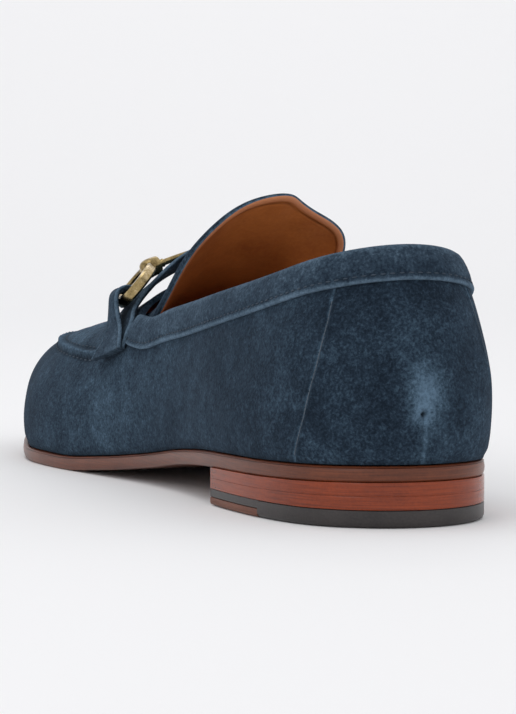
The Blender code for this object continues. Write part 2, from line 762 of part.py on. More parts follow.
def smooth_rows(rows, count):
    """Even rows on the smooth surface through the given rows of points."""
    middle = rows[:, rows.shape[1] // 2]
    chord = np.concatenate([[0], np.cumsum(np.linalg.norm(np.diff(middle, axis=0), axis=1))])
    even = np.linspace(0, chord[-1], count)
    flat = rows.reshape(len(rows), -1).T
    smooth = np.stack([natural_cubic(chord, values, even) for values in flat], -1)
    return smooth.reshape(count, *rows.shape[1:])


def wall_rows(side, climbs, width, offset, columns):
    """Rows across the wall under the saddle, from low to high."""
    rows = []
    for climb in climbs:
        back = FOOT_BACK * (FOOT_UPRIGHT_CLIMB - climb) / (FOOT_UPRIGHT_CLIMB - climbs[0])
        stations = SADDLE_STATION - back + np.linspace(-0.5, 0.5, columns + 1) * width / SOLE_LENGTH
        rows.append(skin_point(side, turn_at(stations), climb, offset))
    return rows


def saddle_direction(side, climb):
    """Direction along the shoe in which the last runs under the saddle."""
    ahead = last_point(side, turn_at(SADDLE_STATION + SADDLE_STEP), climb)
    behind = last_point(side, turn_at(SADDLE_STATION - SADDLE_STEP), climb)
    return (ahead - behind) / np.linalg.norm(ahead - behind)


def saddle_strap(finish):
    """Suede strap from side to side over the instep, clear of the tongue, under the bit."""
    foot_climbs = np.linspace(STRAP_FOOT_CLIMB, STRAP_LEAVES_CLIMB, FOOT_ROWS)
    spread = np.linspace(-0.5, 0.5, STRAP_COLUMNS + 1)
    foot_offset = CLEARANCE + STRAP_THICKNESS
    lateral = wall_rows(LATERAL, foot_climbs, STRAP_WIDTH, foot_offset, STRAP_COLUMNS)
    medial = wall_rows(MEDIAL, foot_climbs, STRAP_WIDTH, foot_offset, STRAP_COLUMNS)
    free = []
    for side in (LATERAL, MEDIAL):
        half = []
        for across, height, climb in BRIDGE:
            centre = np.array([SADDLE_CENTRE + side * across * BALL_WIDTH,
                               SADDLE_STATION * SOLE_LENGTH, height * INSTEP_HEIGHT])
            half.append(centre + spread[:, None] * STRAP_WIDTH * saddle_direction(side, climb))
        free.append(half)
    rows = np.array(lateral + free[0] + free[1][-2::-1] + medial[::-1])
    outer = smooth_rows(rows, STRAP_ROWS + 1)
    points, faces = closed_sheet(outer, outer - sheet_normals(outer) * STRAP_THICKNESS)
    return solid("saddle_strap", points, faces, finish)


def bridge_height(across):
    """Height over the floor of the strap's upper face at a distance from the bridge's middle."""
    inner_first = BRIDGE[::-1]
    share = across / BALL_WIDTH
    height = natural_cubic(inner_first[:, BRIDGE_ACROSS], inner_first[:, BRIDGE_HEIGHT], share)
    return float(height) * INSTEP_HEIGHT


def ring_frame(side):
    """Centre of a ring and its directions: up the instep, along the shoe and out of its plane."""
    height = bridge_height(RING_ACROSS)
    up = np.array([-side * math.cos(RING_TILT), 0, math.sin(RING_TILT)])
    along = saddle_direction(side, RING_CLIMB)
    along -= up * (along @ up)
    along /= np.linalg.norm(along)
    out = np.cross(up, along) * -side
    seat = np.array([SADDLE_CENTRE + side * RING_ACROSS, SADDLE_STATION * SOLE_LENGTH, height])
    centre = seat + out * (RING_LIFT + RING_STOCK / 2)
    return centre, up, along, out


def ring_limb(side, angle):
    """Centre line of a ring; angle 0 is its upper limb and pi its lower one."""
    centre, up, along, _ = ring_frame(side)
    half_wide = (RING_WIDTH - RING_STOCK) / 2
    half_long = (RING_LENGTH - RING_STOCK) / 2
    return centre + up * half_wide * math.cos(angle) + along * half_long * math.sin(angle)


def tube(path, radii, closed, segments):
    """Points and faces of a round tube along a path, with flat ends where it is open."""
    count = len(path)
    points = []
    faces = []
    for index in range(count):
        if closed:
            ahead = path[(index + 1) % count] - path[index - 1]
        else:
            ahead = path[min(index + 1, count - 1)] - path[max(index - 1, 0)]
        ahead = ahead / np.linalg.norm(ahead)
        first = np.cross(ahead, TUBE_REFERENCE)
        first /= np.linalg.norm(first)
        second = np.cross(ahead, first)
        for segment in range(segments):
            turn = 2 * math.pi * segment / segments
            points.append(path[index] + radii[index] * (first * math.cos(turn) + second * math.sin(turn)))
    for index in range(count if closed else count - 1):
        after = (index + 1) % count
        for segment in range(segments):
            beside = (segment + 1) % segments
            faces.append((index * segments + segment, index * segments + beside,
                          after * segments + beside, after * segments + segment))
    if not closed:
        faces.append(tuple(reversed(range(segments))))
        faces.append(tuple((count - 1) * segments + segment for segment in range(segments)))
    return points, faces


def bit(finish):
    """Cast metal bit: an oval ring each side, a knuckle on each and a bar across the instep."""
    rings = []
    for side, name in ((LATERAL, "bit_ring_lateral"), (MEDIAL, "bit_ring_medial")):
        angles = np.linspace(0, 2 * math.pi, RING_SEGMENTS, endpoint=False)
        path = np.array([ring_limb(side, angle) for angle in angles])
        points, faces = tube(path, np.full(RING_SEGMENTS, RING_STOCK / 2), True, RING_SIDES)
        rings.append(solid(name, points, faces, finish))
    ends = [ring_limb(side, 0) for side in (LATERAL, MEDIAL)]
    half_span = (ends[1][0] - ends[0][0]) / 2
    bow = BAR_BOW * saddle_direction(LATERAL, 1)
    path = []
    radii = []
    for share in np.linspace(-1, 1, BAR_SEGMENTS + 1):
        end = ends[0] if share < 0 else ends[1]
        rest = BAR_DIAMETER / 2 + CLEARANCE
        lift = rest + (end[2] - bridge_height(half_span) - rest) * abs(share) ** 3
        point = ends[0] + (ends[1] - ends[0]) * (share + 1) / 2
        point[2] = bridge_height(abs(share) * half_span) + lift
        path.append(point + bow * (1 - share ** 2))
        from_end = (1 - abs(share)) * half_span
        radii.append((KNUCKLE_DIAMETER if from_end < KNUCKLE_LENGTH / 2 else BAR_DIAMETER) / 2)
    for place, beside in ((0, 1), (-1, -2)):
        beyond = path[place] - path[beside]
        beyond *= KNUCKLE_LENGTH / 2 / np.linalg.norm(beyond)
        path.insert(0 if place == 0 else len(path), path[place] + beyond)
    radii = [KNUCKLE_DIAMETER / 2] + radii + [KNUCKLE_DIAMETER / 2]
    points, faces = tube(np.array(path), radii, False, BAR_SIDES)
    bar = solid("bit", points, faces, finish)
    for ring in rings:
        join = bar.modifiers.new(ring.name, "BOOLEAN")
        join.operation = "UNION"
        join.object = ring
        join.solver = "EXACT"
        ring.hide_render = True
        ring.display_type = "WIRE"
    return bar


def tab(side, name, finish):
    """Suede tab stitched to the side that folds over the ring's lower limb and back under it."""
    _, up, along, out = ring_frame(side)
    foot_climbs = np.linspace(TAB_FOOT_CLIMB, TAB_LEAVES_CLIMB, FOOT_ROWS)
    offset = 2 * (CLEARANCE + STRAP_THICKNESS)
    rows = []
    widths = np.linspace(STRAP_FOOT_WIDTH, TAB_NECK_WIDTH, FOOT_ROWS)
    for climb, width in zip(foot_climbs, widths):
        rows.append(wall_rows(side, [foot_climbs[0], climb], width, offset, STRAP_COLUMNS)[-1])
    spread = np.linspace(-0.5, 0.5, STRAP_COLUMNS + 1)
    half_long = (RING_LENGTH - RING_STOCK) / 2
    limb = []
    for share in spread:
        angle = math.pi - math.asin(share * TAB_WIDTH / half_long)
        limb.append(ring_limb(side, angle))
    limb = np.array(limb)
    radius = RING_STOCK / 2 + 3 * CLEARANCE + STRAP_THICKNESS
    for turn in np.radians(TAB_FOLD):
        rows.append(limb + radius * (-up * math.cos(turn) + out * math.sin(turn)))
    outer = smooth_rows(np.array(rows), TAB_ROWS + 1)
    normals = np.cross(np.gradient(outer, axis=0), np.gradient(outer, axis=1))
    normals /= np.linalg.norm(normals, axis=-1, keepdims=True)
    if normals[1, STRAP_COLUMNS // 2, 0] * side < 0:
        normals = -normals
    points, faces = closed_sheet(outer, outer - normals * STRAP_THICKNESS)
    return solid(name, points, faces, finish)


def main():
    for item in list(bpy.data.objects):
        bpy.data.objects.remove(item)
    suede = material("navy suede", (0.040, 0.062, 0.090), 0.90)
    suede_edge = material("collar suede", (0.050, 0.075, 0.105), 0.88)
    lining = material("tan lining", (0.220, 0.090, 0.032), 0.55)
    sock = material("brown sock", (0.150, 0.065, 0.028), 0.60)
    sole_leather = material("burnished sole leather", (0.120, 0.052, 0.032), 0.35)
    stack_leather = material("stacked heel leather", (0.180, 0.045, 0.018), 0.30)
    rubber = material("dark rubber", (0.022, 0.018, 0.017), 0.45)
    brass = material("antique brass", (0.480, 0.360, 0.180), 0.28, 1.0)
    upper(suede)
    collar_band(suede_edge)
    tongue(lining)
    outsole(sole_leather)
    insole(sock)
    lifts([stack_leather, stack_leather])
    top_piece(rubber, stack_leather)
    saddle_strap(suede)
    tab(LATERAL, "saddle_tab_lateral", suede_edge)
    tab(MEDIAL, "saddle_tab_medial", suede_edge)
    bit(brass)


main()
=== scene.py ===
"""Bit loafer, left shoe: the CAD pieces dressed in suede, leather, rubber and brass.

All sizes are in metres. Points are worked out in the last's frame, whose heel end lies at y = 0,
and every finished mesh is moved back so that the middle of the heel stands over the origin.
"""

import math

import bmesh
import bpy
import numpy as np
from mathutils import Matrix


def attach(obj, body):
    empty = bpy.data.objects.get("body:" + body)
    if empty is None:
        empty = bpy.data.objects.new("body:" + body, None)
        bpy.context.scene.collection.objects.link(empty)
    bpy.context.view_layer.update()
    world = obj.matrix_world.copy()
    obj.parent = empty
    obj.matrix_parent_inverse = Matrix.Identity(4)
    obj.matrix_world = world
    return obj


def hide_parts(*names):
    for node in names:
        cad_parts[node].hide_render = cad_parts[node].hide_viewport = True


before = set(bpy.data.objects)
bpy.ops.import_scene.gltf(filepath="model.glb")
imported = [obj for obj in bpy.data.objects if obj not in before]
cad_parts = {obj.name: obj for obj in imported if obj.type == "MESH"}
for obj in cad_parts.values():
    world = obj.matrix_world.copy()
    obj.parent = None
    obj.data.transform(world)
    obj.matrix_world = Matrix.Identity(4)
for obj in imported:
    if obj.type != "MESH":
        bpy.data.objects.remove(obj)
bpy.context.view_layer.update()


# Upper
# Vamp and quarters of navy suede over a tan lining, shaped on the last and tucked in under the
# foot. The apron is sewn on with a raised seam, the quarters meet the counter in a butt seam on
# each side, and a short dart closes the back of the heel.

SOLE_LENGTH = 0.300
BALL_WIDTH = 0.0985
HEEL_WIDTH = 0.0655
HEEL_CENTRE = 0.035
INSTEP_HEIGHT = 0.0650
COLLAR_HEIGHT = 0.0760
TOE_SPRING = 0.0095
WAIST_LIFT = 0.0095
SEAT_HEIGHT_BACK = 0.0125
SEAT_HEIGHT_BREAST = 0.0110
SOLE_THICKNESS = 0.0045
UPPER_WALL = 0.0020
CLEARANCE = 0.0003
LATERAL = -1
MEDIAL = 1
SIDES = (LATERAL, MEDIAL)
SAMPLES_UP = 201
SAMPLES_ALONG = 240
END_SHARE = 0.001
THROAT_BETWEEN = (0.5, 0.7)
MERGE_DISTANCE = 0.000005
SHARP_DEGREES = 60


def named_columns(names, rows):
    return dict(zip(names.split(), np.array(rows).T))


# Shares of the sole's length, of the ball's width and of half the heel's and half the ball's width
OUTLINE = named_columns("station centre of_heel of_ball", [
    (0.00, 0.022, 0.000, 0.000),
    (0.02, 0.020, 0.535, 0.000),
    (0.05, 0.016, 0.780, 0.000),
    (0.10, 0.009, 0.940, 0.000),
    (0.17, -0.004, 1.000, 0.000),
    (0.25, -0.020, 0.985, 0.000),
    (0.35, -0.036, 0.700, 0.155),
    (0.45, -0.052, 0.360, 0.400),
    (0.55, -0.054, 0.100, 0.695),
    (0.62, -0.047, 0.000, 0.873),
    (0.68, -0.031, 0.000, 0.960),
    (0.74, -0.014, 0.000, 1.000),
    (0.80, 0.004, 0.000, 0.960),
    (0.86, 0.022, 0.000, 0.856),
    (0.91, 0.036, 0.000, 0.704),
    (0.95, 0.042, 0.000, 0.538),
    (0.98, 0.050, 0.000, 0.325),
    (1.00, 0.058, 0.000, 0.000),
])

# Underside of the sole over the floor, as shares of the seat heights, waist lift and toe spring
RISE = named_columns("station seat_back seat_breast waist toe", [
    (0.00, 1.00, 0.00, 0.00, 0.00),
    (0.12, 0.50, 0.50, 0.00, 0.00),
    (0.24, 0.00, 1.00, 0.00, 0.00),
    (0.34, 0.00, 0.00, 0.95, 0.00),
    (0.44, 0.00, 0.00, 0.55, 0.00),
    (0.54, 0.00, 0.00, 0.20, 0.00),
    (0.63, 0.00, 0.00, 0.00, 0.00),
    (0.72, 0.00, 0.00, 0.00, 0.00),
    (0.82, 0.00, 0.00, 0.00, 0.20),
    (0.92, 0.00, 0.00, 0.00, 0.60),
    (1.00, 0.00, 0.00, 0.00, 1.00),
])

# Sections of the last from the outline up to its ridge
SECTIONS = named_columns(
    "station ridge_along ridge_across ridge_height swell_lateral swell_medial pull_foot pull_ridge fall", [
        (0.00, 0.100, 0.010, 1.760, 0.076, 0.076, 0.36, 0.53, 0.30),
        (0.05, 0.110, 0.006, 1.760, 0.074, 0.086, 0.38, 0.52, 0.30),
        (0.12, 0.145, 0.004, 1.760, 0.060, 0.080, 0.38, 0.56, 0.30),
        (0.20, 0.205, 0.015, 1.740, 0.050, 0.072, 0.38, 0.67, 0.28),
        (0.30, 0.290, 0.035, 1.660, 0.042, 0.085, 0.42, 0.72, 0.16),
        (0.40, 0.360, 0.045, 1.480, 0.040, 0.100, 0.48, 0.70, 0.06),
        (0.48, 0.430, 0.032, 1.270, 0.040, 0.095, 0.52, 0.62, 0.02),
        (0.54, 0.495, 0.022, 1.085, 0.040, 0.078, 0.55, 0.56, 0.00),
        (0.60, 0.555, 0.018, 0.965, 0.042, 0.060, 0.58, 0.52, 0.00),
        (0.68, 0.630, 0.018, 0.860, 0.044, 0.048, 0.62, 0.52, 0.00),
        (0.76, 0.695, 0.024, 0.780, 0.046, 0.046, 0.70, 0.60, 0.00),
        (0.84, 0.755, 0.034, 0.725, 0.046, 0.044, 0.78, 0.70, 0.00),
        (0.92, 0.810, 0.044, 0.685, 0.046, 0.044, 0.82, 0.76, 0.00),
        (1.00, 0.850, 0.052, 0.655, 0.046, 0.044, 0.82, 0.78, 0.00),
    ])

COLLAR = named_columns("station height", [
    (0.00, 1.000),
    (0.06, 0.950),
    (0.13, 0.890),
    (0.20, 0.838),
    (0.30, 0.775),
    (0.40, 0.720),
    (0.47, 0.675),
    (0.52, 0.680),
    (0.57, 0.760),
    (0.60, 0.850),
    (0.63, 1.000),
    (1.00, 1.000),
])

# How far the sole stands out beyond the upper, as a share of the sole's thickness
MARGIN = named_columns("station share", [
    (0.00, -0.10),
    (0.20, 0.05),
    (0.45, 0.15),
    (0.75, 0.15),
    (1.00, 0.15),
])


def unit(vectors):
    return vectors / np.linalg.norm(vectors, axis=-1, keepdims=True)


def natural_cubic(knots, values, at):
    """Smooth cubic through the values, straight at its ends."""
    steps = np.diff(knots)
    slopes = np.diff(values) / steps
    count = len(knots)
    matrix = np.eye(count)
    right = np.zeros(count)
    for row in range(1, count - 1):
        matrix[row, row - 1] = steps[row - 1]
        matrix[row, row] = 2 * (steps[row - 1] + steps[row])
        matrix[row, row + 1] = steps[row]
        right[row] = 6 * (slopes[row] - slopes[row - 1])
    bend = np.linalg.solve(matrix, right)
    at = np.asarray(at, float)
    index = np.clip(np.searchsorted(knots, at, side="right") - 1, 0, count - 2)
    left = at - knots[index]
    step = steps[index]
    slope = slopes[index] - step * (2 * bend[index] + bend[index + 1]) / 6
    cubic = (bend[index + 1] - bend[index]) / (6 * step)
    return values[index] + slope * left + bend[index] / 2 * left ** 2 + cubic * left ** 3


def monotone_cubic(knots, values, at):
    """Cubic through the values that never overshoots them."""
    steps = np.diff(knots)
    slopes = np.diff(values) / steps
    tangents = np.zeros(len(knots))
    for row in range(1, len(knots) - 1):
        if slopes[row - 1] * slopes[row] > 0:
            first = 2 * steps[row] + steps[row - 1]
            second = steps[row] + 2 * steps[row - 1]
            tangents[row] = (first + second) / (first / slopes[row - 1] + second / slopes[row])
    tangents[0] = slopes[0]
    tangents[-1] = slopes[-1]
    at = np.clip(np.asarray(at, float), knots[0], knots[-1])
    index = np.clip(np.searchsorted(knots, at, side="right") - 1, 0, len(knots) - 2)
    step = steps[index]
    share = (at - knots[index]) / step
    start = (1 + 2 * share) * (1 - share) ** 2 * values[index]
    leave = share * (1 - share) ** 2 * step * tangents[index]
    end = share ** 2 * (3 - 2 * share) * values[index + 1]
    arrive = share ** 2 * (share - 1) * step * tangents[index + 1]
    return start + leave + end + arrive


def turn_at(station):
    return np.arccos(1 - 2 * np.asarray(station, float)) / np.pi


def station_at(turn):
    return (1 - np.cos(np.pi * np.asarray(turn, float))) / 2


def outline_point(side, turn):
    """Point of the sole's outline; turn runs from 0 at the heel to 1 at the toe."""
    angle = np.pi * np.asarray(turn, float)
    knots = np.arccos(1 - 2 * OUTLINE["station"])
    centre = natural_cubic(knots, OUTLINE["centre"] * BALL_WIDTH, angle)
    half_widths = (OUTLINE["of_heel"] * HEEL_WIDTH + OUTLINE["of_ball"] * BALL_WIDTH) / 2
    half_width = np.maximum(natural_cubic(knots, half_widths, angle), 0)
    return np.stack([centre + side * half_width, station_at(turn) * SOLE_LENGTH], -1)


def outline_normal(side, turn):
    step = 0.0001
    turn = np.asarray(turn, float)
    inside = np.clip(turn, 2 * step, 1 - 2 * step)
    along = outline_point(side, inside + step) - outline_point(side, inside - step)
    normal = np.stack([along[..., 1], -along[..., 0]], -1) * side
    normal[..., 0] *= (turn > step) & (turn < 1 - step)
    return unit(normal)


def rise(along):
    """Height of the sole's underside over the floor."""
    heights = RISE["seat_back"] * SEAT_HEIGHT_BACK + RISE["seat_breast"] * SEAT_HEIGHT_BREAST
    heights = heights + RISE["waist"] * WAIST_LIFT + RISE["toe"] * TOE_SPRING
    return monotone_cubic(RISE["station"] * SOLE_LENGTH, heights, along)


def margin_at(station):
    return natural_cubic(MARGIN["station"], MARGIN["share"], station) * SOLE_THICKNESS


def last_point(side, turn, climb):
    """Point of the last's surface; climb runs from 0 at the sole to 1 at the ridge."""
    turn, climb = np.broadcast_arrays(np.asarray(turn, float), np.asarray(climb, float))
    station = station_at(turn)
    normal = outline_normal(side, turn)
    foot = outline_point(side, turn) - normal * margin_at(station)[..., None]
    base = rise(foot[..., 1]) + SOLE_THICKNESS + CLEARANCE
    share = {}
    for name, values in SECTIONS.items():
        share[name] = natural_cubic(SECTIONS["station"], values, station)
    swell = share["swell_lateral" if side == LATERAL else "swell_medial"] * BALL_WIDTH
    end = np.stack([share["ridge_across"] * BALL_WIDTH, share["ridge_along"] * SOLE_LENGTH,
                    share["ridge_height"] * INSTEP_HEIGHT], -1)
    tall = end[..., 2] - base
    start = np.concatenate([foot, base[..., None]], -1)
    first = start.copy()
    first[..., :2] += normal * swell[..., None]
    first[..., 2] += tall * share["pull_foot"]
    second = end.copy()
    second[..., :2] += (foot - end[..., :2]) * share["pull_ridge"][..., None]
    second[..., 2] -= tall * share["fall"]
    up = climb[..., None]
    down = 1 - up
    return start * down ** 3 + first * 3 * up * down ** 2 + second * 3 * up ** 2 * down + end * up ** 3


def last_normal(side, turn, climb):
    step = END_SHARE
    turn, climb = np.broadcast_arrays(np.asarray(turn, float), np.asarray(climb, float))
    turn = np.clip(turn, step, 1 - step)
    climb = np.clip(climb, step, 1 - step)
    along = last_point(side, turn + step / 2, climb) - last_point(side, turn - step / 2, climb)
    up = last_point(side, turn, climb + step / 2) - last_point(side, turn, climb - step / 2)
    normal = np.cross(along, up) * side
    return unit(normal)


def skin_point(side, turn, climb, offset):
    """Point at a distance outside the last's surface, or inside it where the offset is negative."""
    turn, climb = np.broadcast_arrays(np.asarray(turn, float), np.asarray(climb, float))
    normal = last_normal(side, turn, climb)
    other = last_normal(-side, turn, climb)
    ends = (climb > 1 - END_SHARE) | (turn < END_SHARE) | (turn > 1 - END_SHARE)
    joined = unit(normal + np.where(ends[..., None], other, 0))
    return last_point(side, turn, climb) + joined * np.asarray(offset)[..., None]


def edge_height(station):
    return monotone_cubic(COLLAR["station"], COLLAR["height"], station) * COLLAR_HEIGHT


def collar_climb(side, turn):
    """Climb at which the upper ends: 1 where the two sides meet on the ridge."""
    height = float(edge_height(station_at(turn)))
    climbs = np.linspace(0, 1, SAMPLES_UP)
    heights = last_point(side, turn, climbs)[:, 2]
    if heights.max() <= height:
        return 1.0
    above = int(np.argmax(heights > height))
    share = (height - heights[above - 1]) / (heights[above] - heights[above - 1])
    return float(climbs[above - 1] + share * (climbs[above] - climbs[above - 1]))


def throat_station():
    """Station at which the upper's edge comes to the ridge."""
    stations = np.linspace(*THROAT_BETWEEN, 4001)
    ridge = natural_cubic(SECTIONS["station"], SECTIONS["ridge_height"], stations) * INSTEP_HEIGHT
    return float(stations[np.argmax(edge_height(stations) >= ridge)])


def smoothstep(value):
    value = np.clip(value, 0, 1)
    return value * value * (3 - 2 * value)


def bell(distance, width):
    return np.exp(-(distance / width) ** 2)


def stripes(distance, table):
    """Soft stripes beside a line, each with its strength, its place and its half width."""
    return sum(strength * bell(distance - place, width) for strength, place, width in table)


def add_object(name, data):
    made = bpy.data.objects.new(name, data)
    bpy.context.scene.collection.objects.link(made)
    return made


def make_piece(name, points, faces, materials, painted=None, attributes=None, sharp=SHARP_DEGREES):
    """Closed mesh object from points in the last's frame, with its normals turned outwards."""
    mesh = bpy.data.meshes.new(name)
    shifted = np.asarray(points, float).reshape(-1, 3) - (0, HEEL_CENTRE, 0)
    mesh.from_pydata(shifted.tolist(), [], faces)
    for material in materials:
        mesh.materials.append(material)
    if painted is not None:
        mesh.polygons.foreach_set("material_index", painted)
    for label, values in (attributes or {}).items():
        layer = mesh.attributes.new(label, "FLOAT", "POINT")
        layer.data.foreach_set("value", np.asarray(values, np.float32).ravel())
    shape = bmesh.new()
    shape.from_mesh(mesh)
    bmesh.ops.remove_doubles(shape, verts=shape.verts, dist=MERGE_DISTANCE)
    bmesh.ops.recalc_face_normals(shape, faces=shape.faces)
    shape.to_mesh(mesh)
    shape.free()
    mesh.shade_smooth()
    mesh.set_sharp_from_angle(angle=math.radians(sharp))
    return add_object(name, mesh)


def node(tree, kind, inputs=None, **settings):
    """Shader or geometry node whose inputs are set to constants or linked to sockets."""
    made = tree.nodes.new(kind)
    for name, value in settings.items():
        setattr(made, name, value)
    for name, value in (inputs or {}).items():
        socket = made.inputs[name]
        if isinstance(value, bpy.types.NodeSocket):
            tree.links.new(value, socket)
        else:
            socket.default_value = value
    return made


def new_material(name, roughness, specular=0.5, metallic=0.0, coat=0.0, sheen=0.0):
    """Material with the constants of its Principled shader set, with its node tree and shader."""
    material = bpy.data.materials.new(name)
    material.use_nodes = True
    tree = material.node_tree
    shader = tree.nodes["Principled BSDF"]
    constants = {"Roughness": roughness, "Specular IOR Level": specular, "Metallic": metallic,
                 "Coat Weight": coat, "Coat Roughness": 0.25, "Sheen Weight": sheen,
                 "Sheen Roughness": 0.55}
    for label, value in constants.items():
        shader.inputs[label].default_value = value
    return material, tree, shader


def noise(tree, place, scale, detail=3.0, roughness=0.55, distortion=0.0):
    made = node(tree, "ShaderNodeTexNoise", {"Vector": place, "Scale": scale, "Detail": detail,
                                             "Roughness": roughness, "Distortion": distortion})
    return made.outputs["Fac"]


def ramp(tree, value, stops):
    """Colours by value; each stop is a position and a colour."""
    made = node(tree, "ShaderNodeValToRGB", {"Fac": value})
    elements = made.color_ramp.elements
    while len(elements) < len(stops):
        elements.new(0.5)
    for element, (position, colour) in zip(elements, stops):
        element.position = position
        element.color = (*colour, 1)
    return made.outputs["Color"]


def maths(tree, operation, first, second):
    made = tree.nodes.new("ShaderNodeMath")
    made.operation = operation
    for socket, value in zip(made.inputs, (first, second)):
        if isinstance(value, bpy.types.NodeSocket):
            tree.links.new(value, socket)
        else:
            socket.default_value = value
    return made.outputs[0]


def blend_sum(tree, terms):
    """Weighted sum of values, given as pairs of a socket and a weight."""
    total = None
    for value, weight in terms:
        part = maths(tree, "MULTIPLY", value, weight)
        total = part if total is None else maths(tree, "ADD", total, part)
    return total


def painted_value(tree, label):
    return node(tree, "ShaderNodeAttribute", attribute_name=label).outputs["Fac"]


def painted_over(tree, label, colour, other):
    """Colour that gives way to another one where the mesh's attribute says so."""
    mix = node(tree, "ShaderNodeMix", {0: painted_value(tree, label), 6: colour, 7: (*other, 1)},
               data_type="RGBA")
    return mix.outputs[2]


def object_place(tree):
    return node(tree, "ShaderNodeTexCoord").outputs["Object"]


def roughen(tree, shader, height, strength, distance):
    """Fine relief of a surface, as a bump."""
    bump = node(tree, "ShaderNodeBump", {"Height": height, "Strength": strength, "Distance": distance})
    tree.links.new(bump.outputs["Normal"], shader.inputs["Normal"])


def suede(name, dark, middle, lifted, light):
    """Napped suede: a fine fleck, brushed patches, light spots of wear and painted highlight, and painted
    shade at the seams.
    """
    material, tree, shader = new_material(name, 0.95, specular=0.05, sheen=0.07)
    shader.inputs["Sheen Tint"].default_value = (0.50, 0.68, 0.90, 1)
    place = object_place(tree)
    fleck = noise(tree, place, 1250, 2.0, 0.7)
    nap = noise(tree, place, 480, 4.0, 0.7, 0.8)
    patch = noise(tree, place, 75, 4.0, 0.65, 0.6)
    broad = noise(tree, place, 22, 2.0, 0.5)
    # Tone lifted where the mesh's attribute of wear and painted highlight says so
    tone = blend_sum(tree, [(fleck, 0.42), (nap, 0.34), (patch, 0.30), (broad, 0.24),
                            (painted_value(tree, "wear_and_highlight"), 0.34)])
    colour = ramp(tree, tone, [(0.54, dark), (0.65, middle), (0.74, lifted), (0.97, light)])
    shaded = painted_over(tree, "shade", colour, [0.32 * part for part in dark])
    tree.links.new(shaded, shader.inputs["Base Color"])
    pile = blend_sum(tree, [(fleck, 0.8), (nap, 0.8), (patch, 0.4)])
    roughen(tree, shader, pile, 0.75, 0.0005)
    return material


def leather(name, dark, light, roughness=0.5, coat=0.0, grain=900, depth=0.3):
    """Smooth leather with a fine grain, pores and slow changes of tone."""
    material, tree, shader = new_material(name, roughness, specular=0.4, coat=coat)
    place = object_place(tree)
    pores = node(tree, "ShaderNodeTexVoronoi", {"Vector": place, "Scale": grain},
                 feature="SMOOTH_F1").outputs["Distance"]
    fine = noise(tree, place, grain * 0.8, 3.0, 0.6)
    cloud = noise(tree, place, 55, 3.0, 0.6, 0.4)
    tone = blend_sum(tree, [(cloud, 0.7), (fine, 0.3)])
    lit = ramp(tree, tone, [(0.32, dark), (0.70, light)])
    shaded = painted_over(tree, "shade", lit, [0.35 * part for part in dark])
    # Lighter where the mesh's attribute of wear and painted highlight says so
    lightened = painted_over(tree, "wear_and_highlight", shaded, [part + 0.08 for part in light])
    tree.links.new(lightened, shader.inputs["Base Color"])
    roughen(tree, shader, blend_sum(tree, [(pores, 0.6), (fine, 0.5)]), depth, 0.0003)
    return material


navy_suede = suede("navy suede", (0.0080, 0.0145, 0.0240), (0.0185, 0.0320, 0.0500),
                   (0.0370, 0.0640, 0.0940), (0.110, 0.180, 0.255))
tan_lining = leather("tan lining leather", (0.360, 0.098, 0.020), (0.560, 0.178, 0.040), 0.55)

DART_ZONE = 0.020
SEAM_ZONE = 0.010
THROAT_ZONE = 0.50
FOOT_ZONE = 0.06
APRON_ZONE = 0.05
SEAM_PULL = 0.14
APRON_SHARE = 0.62
APRON_START = 0.500
APRON_RUN = 0.060
APRON_RIDGE = 0.0012
APRON_RIDGE_HALF = 0.0009
APRON_PLEAT = 0.0042
APRON_SHOWN_FROM = 0.555
APRON_GROWS_OVER = 0.020
DART_FOOT = 0.0190
DART_TOP = 0.0310
DART_DEPTH = 0.0004
HOLE_DEPTH = 0.0014
PUCKER_HEIGHT = 0.00022
PUCKERS = 5
RIPPLE_HEIGHT = 0.00012
RIPPLES_AROUND = 210
RIPPLES_UP = 260
SEAM_WAVES = 2300
FOOT_TUCK = 0.0006
# Painted highlight on the nap above the dart: its rise over the dart's top, its half width and its half
# height
NAP_HIGHLIGHT_RISE = 0.0055
NAP_HIGHLIGHT_HALF_WIDTH = 0.0052
NAP_HIGHLIGHT_HALF_HEIGHT = 0.0085

# Soft stripes beside the seams: strength, place and half width
APRON_TROUGHS = [(-0.00045, -0.0024, 0.0009), (-0.00030, 0.0022, 0.0008)]
APRON_SHADES = [(0.55, -0.0021, 0.0007), (0.35, 0.0019, 0.0006)]
APRON_LIGHT_STRIPES = [(0.40, 0.0, 0.0009)]
SEAM_LIPS = [(0.00016, 0.0013, 0.0007)]
SEAM_GROOVE = [(-0.00025, 0.0, 0.00038)]
SEAM_SHADE = [(0.22, -0.0008, 0.00035)]
SEAM_WORN = [(0.65, 0.0001, 0.0005)]

# Climb of the apron's seam on the last
APRON = named_columns("station climb", [
    (0.000, 0.380),
    (0.540, 0.380),
    (0.590, 0.380),
    (0.655, 0.415),
    (0.755, 0.480),
    (0.850, 0.535),
    (0.930, 0.575),
    (1.000, 0.600),
])

# Counter seam down each side, as the turn of the outline by climb
COUNTER_SEAM = named_columns("climb turn", [
    (0.000, 0.1692),
    (0.115, 0.1485),
    (0.240, 0.1335),
    (0.355, 0.1241),
    (0.445, 0.1203),
    (1.000, 0.1150),
])

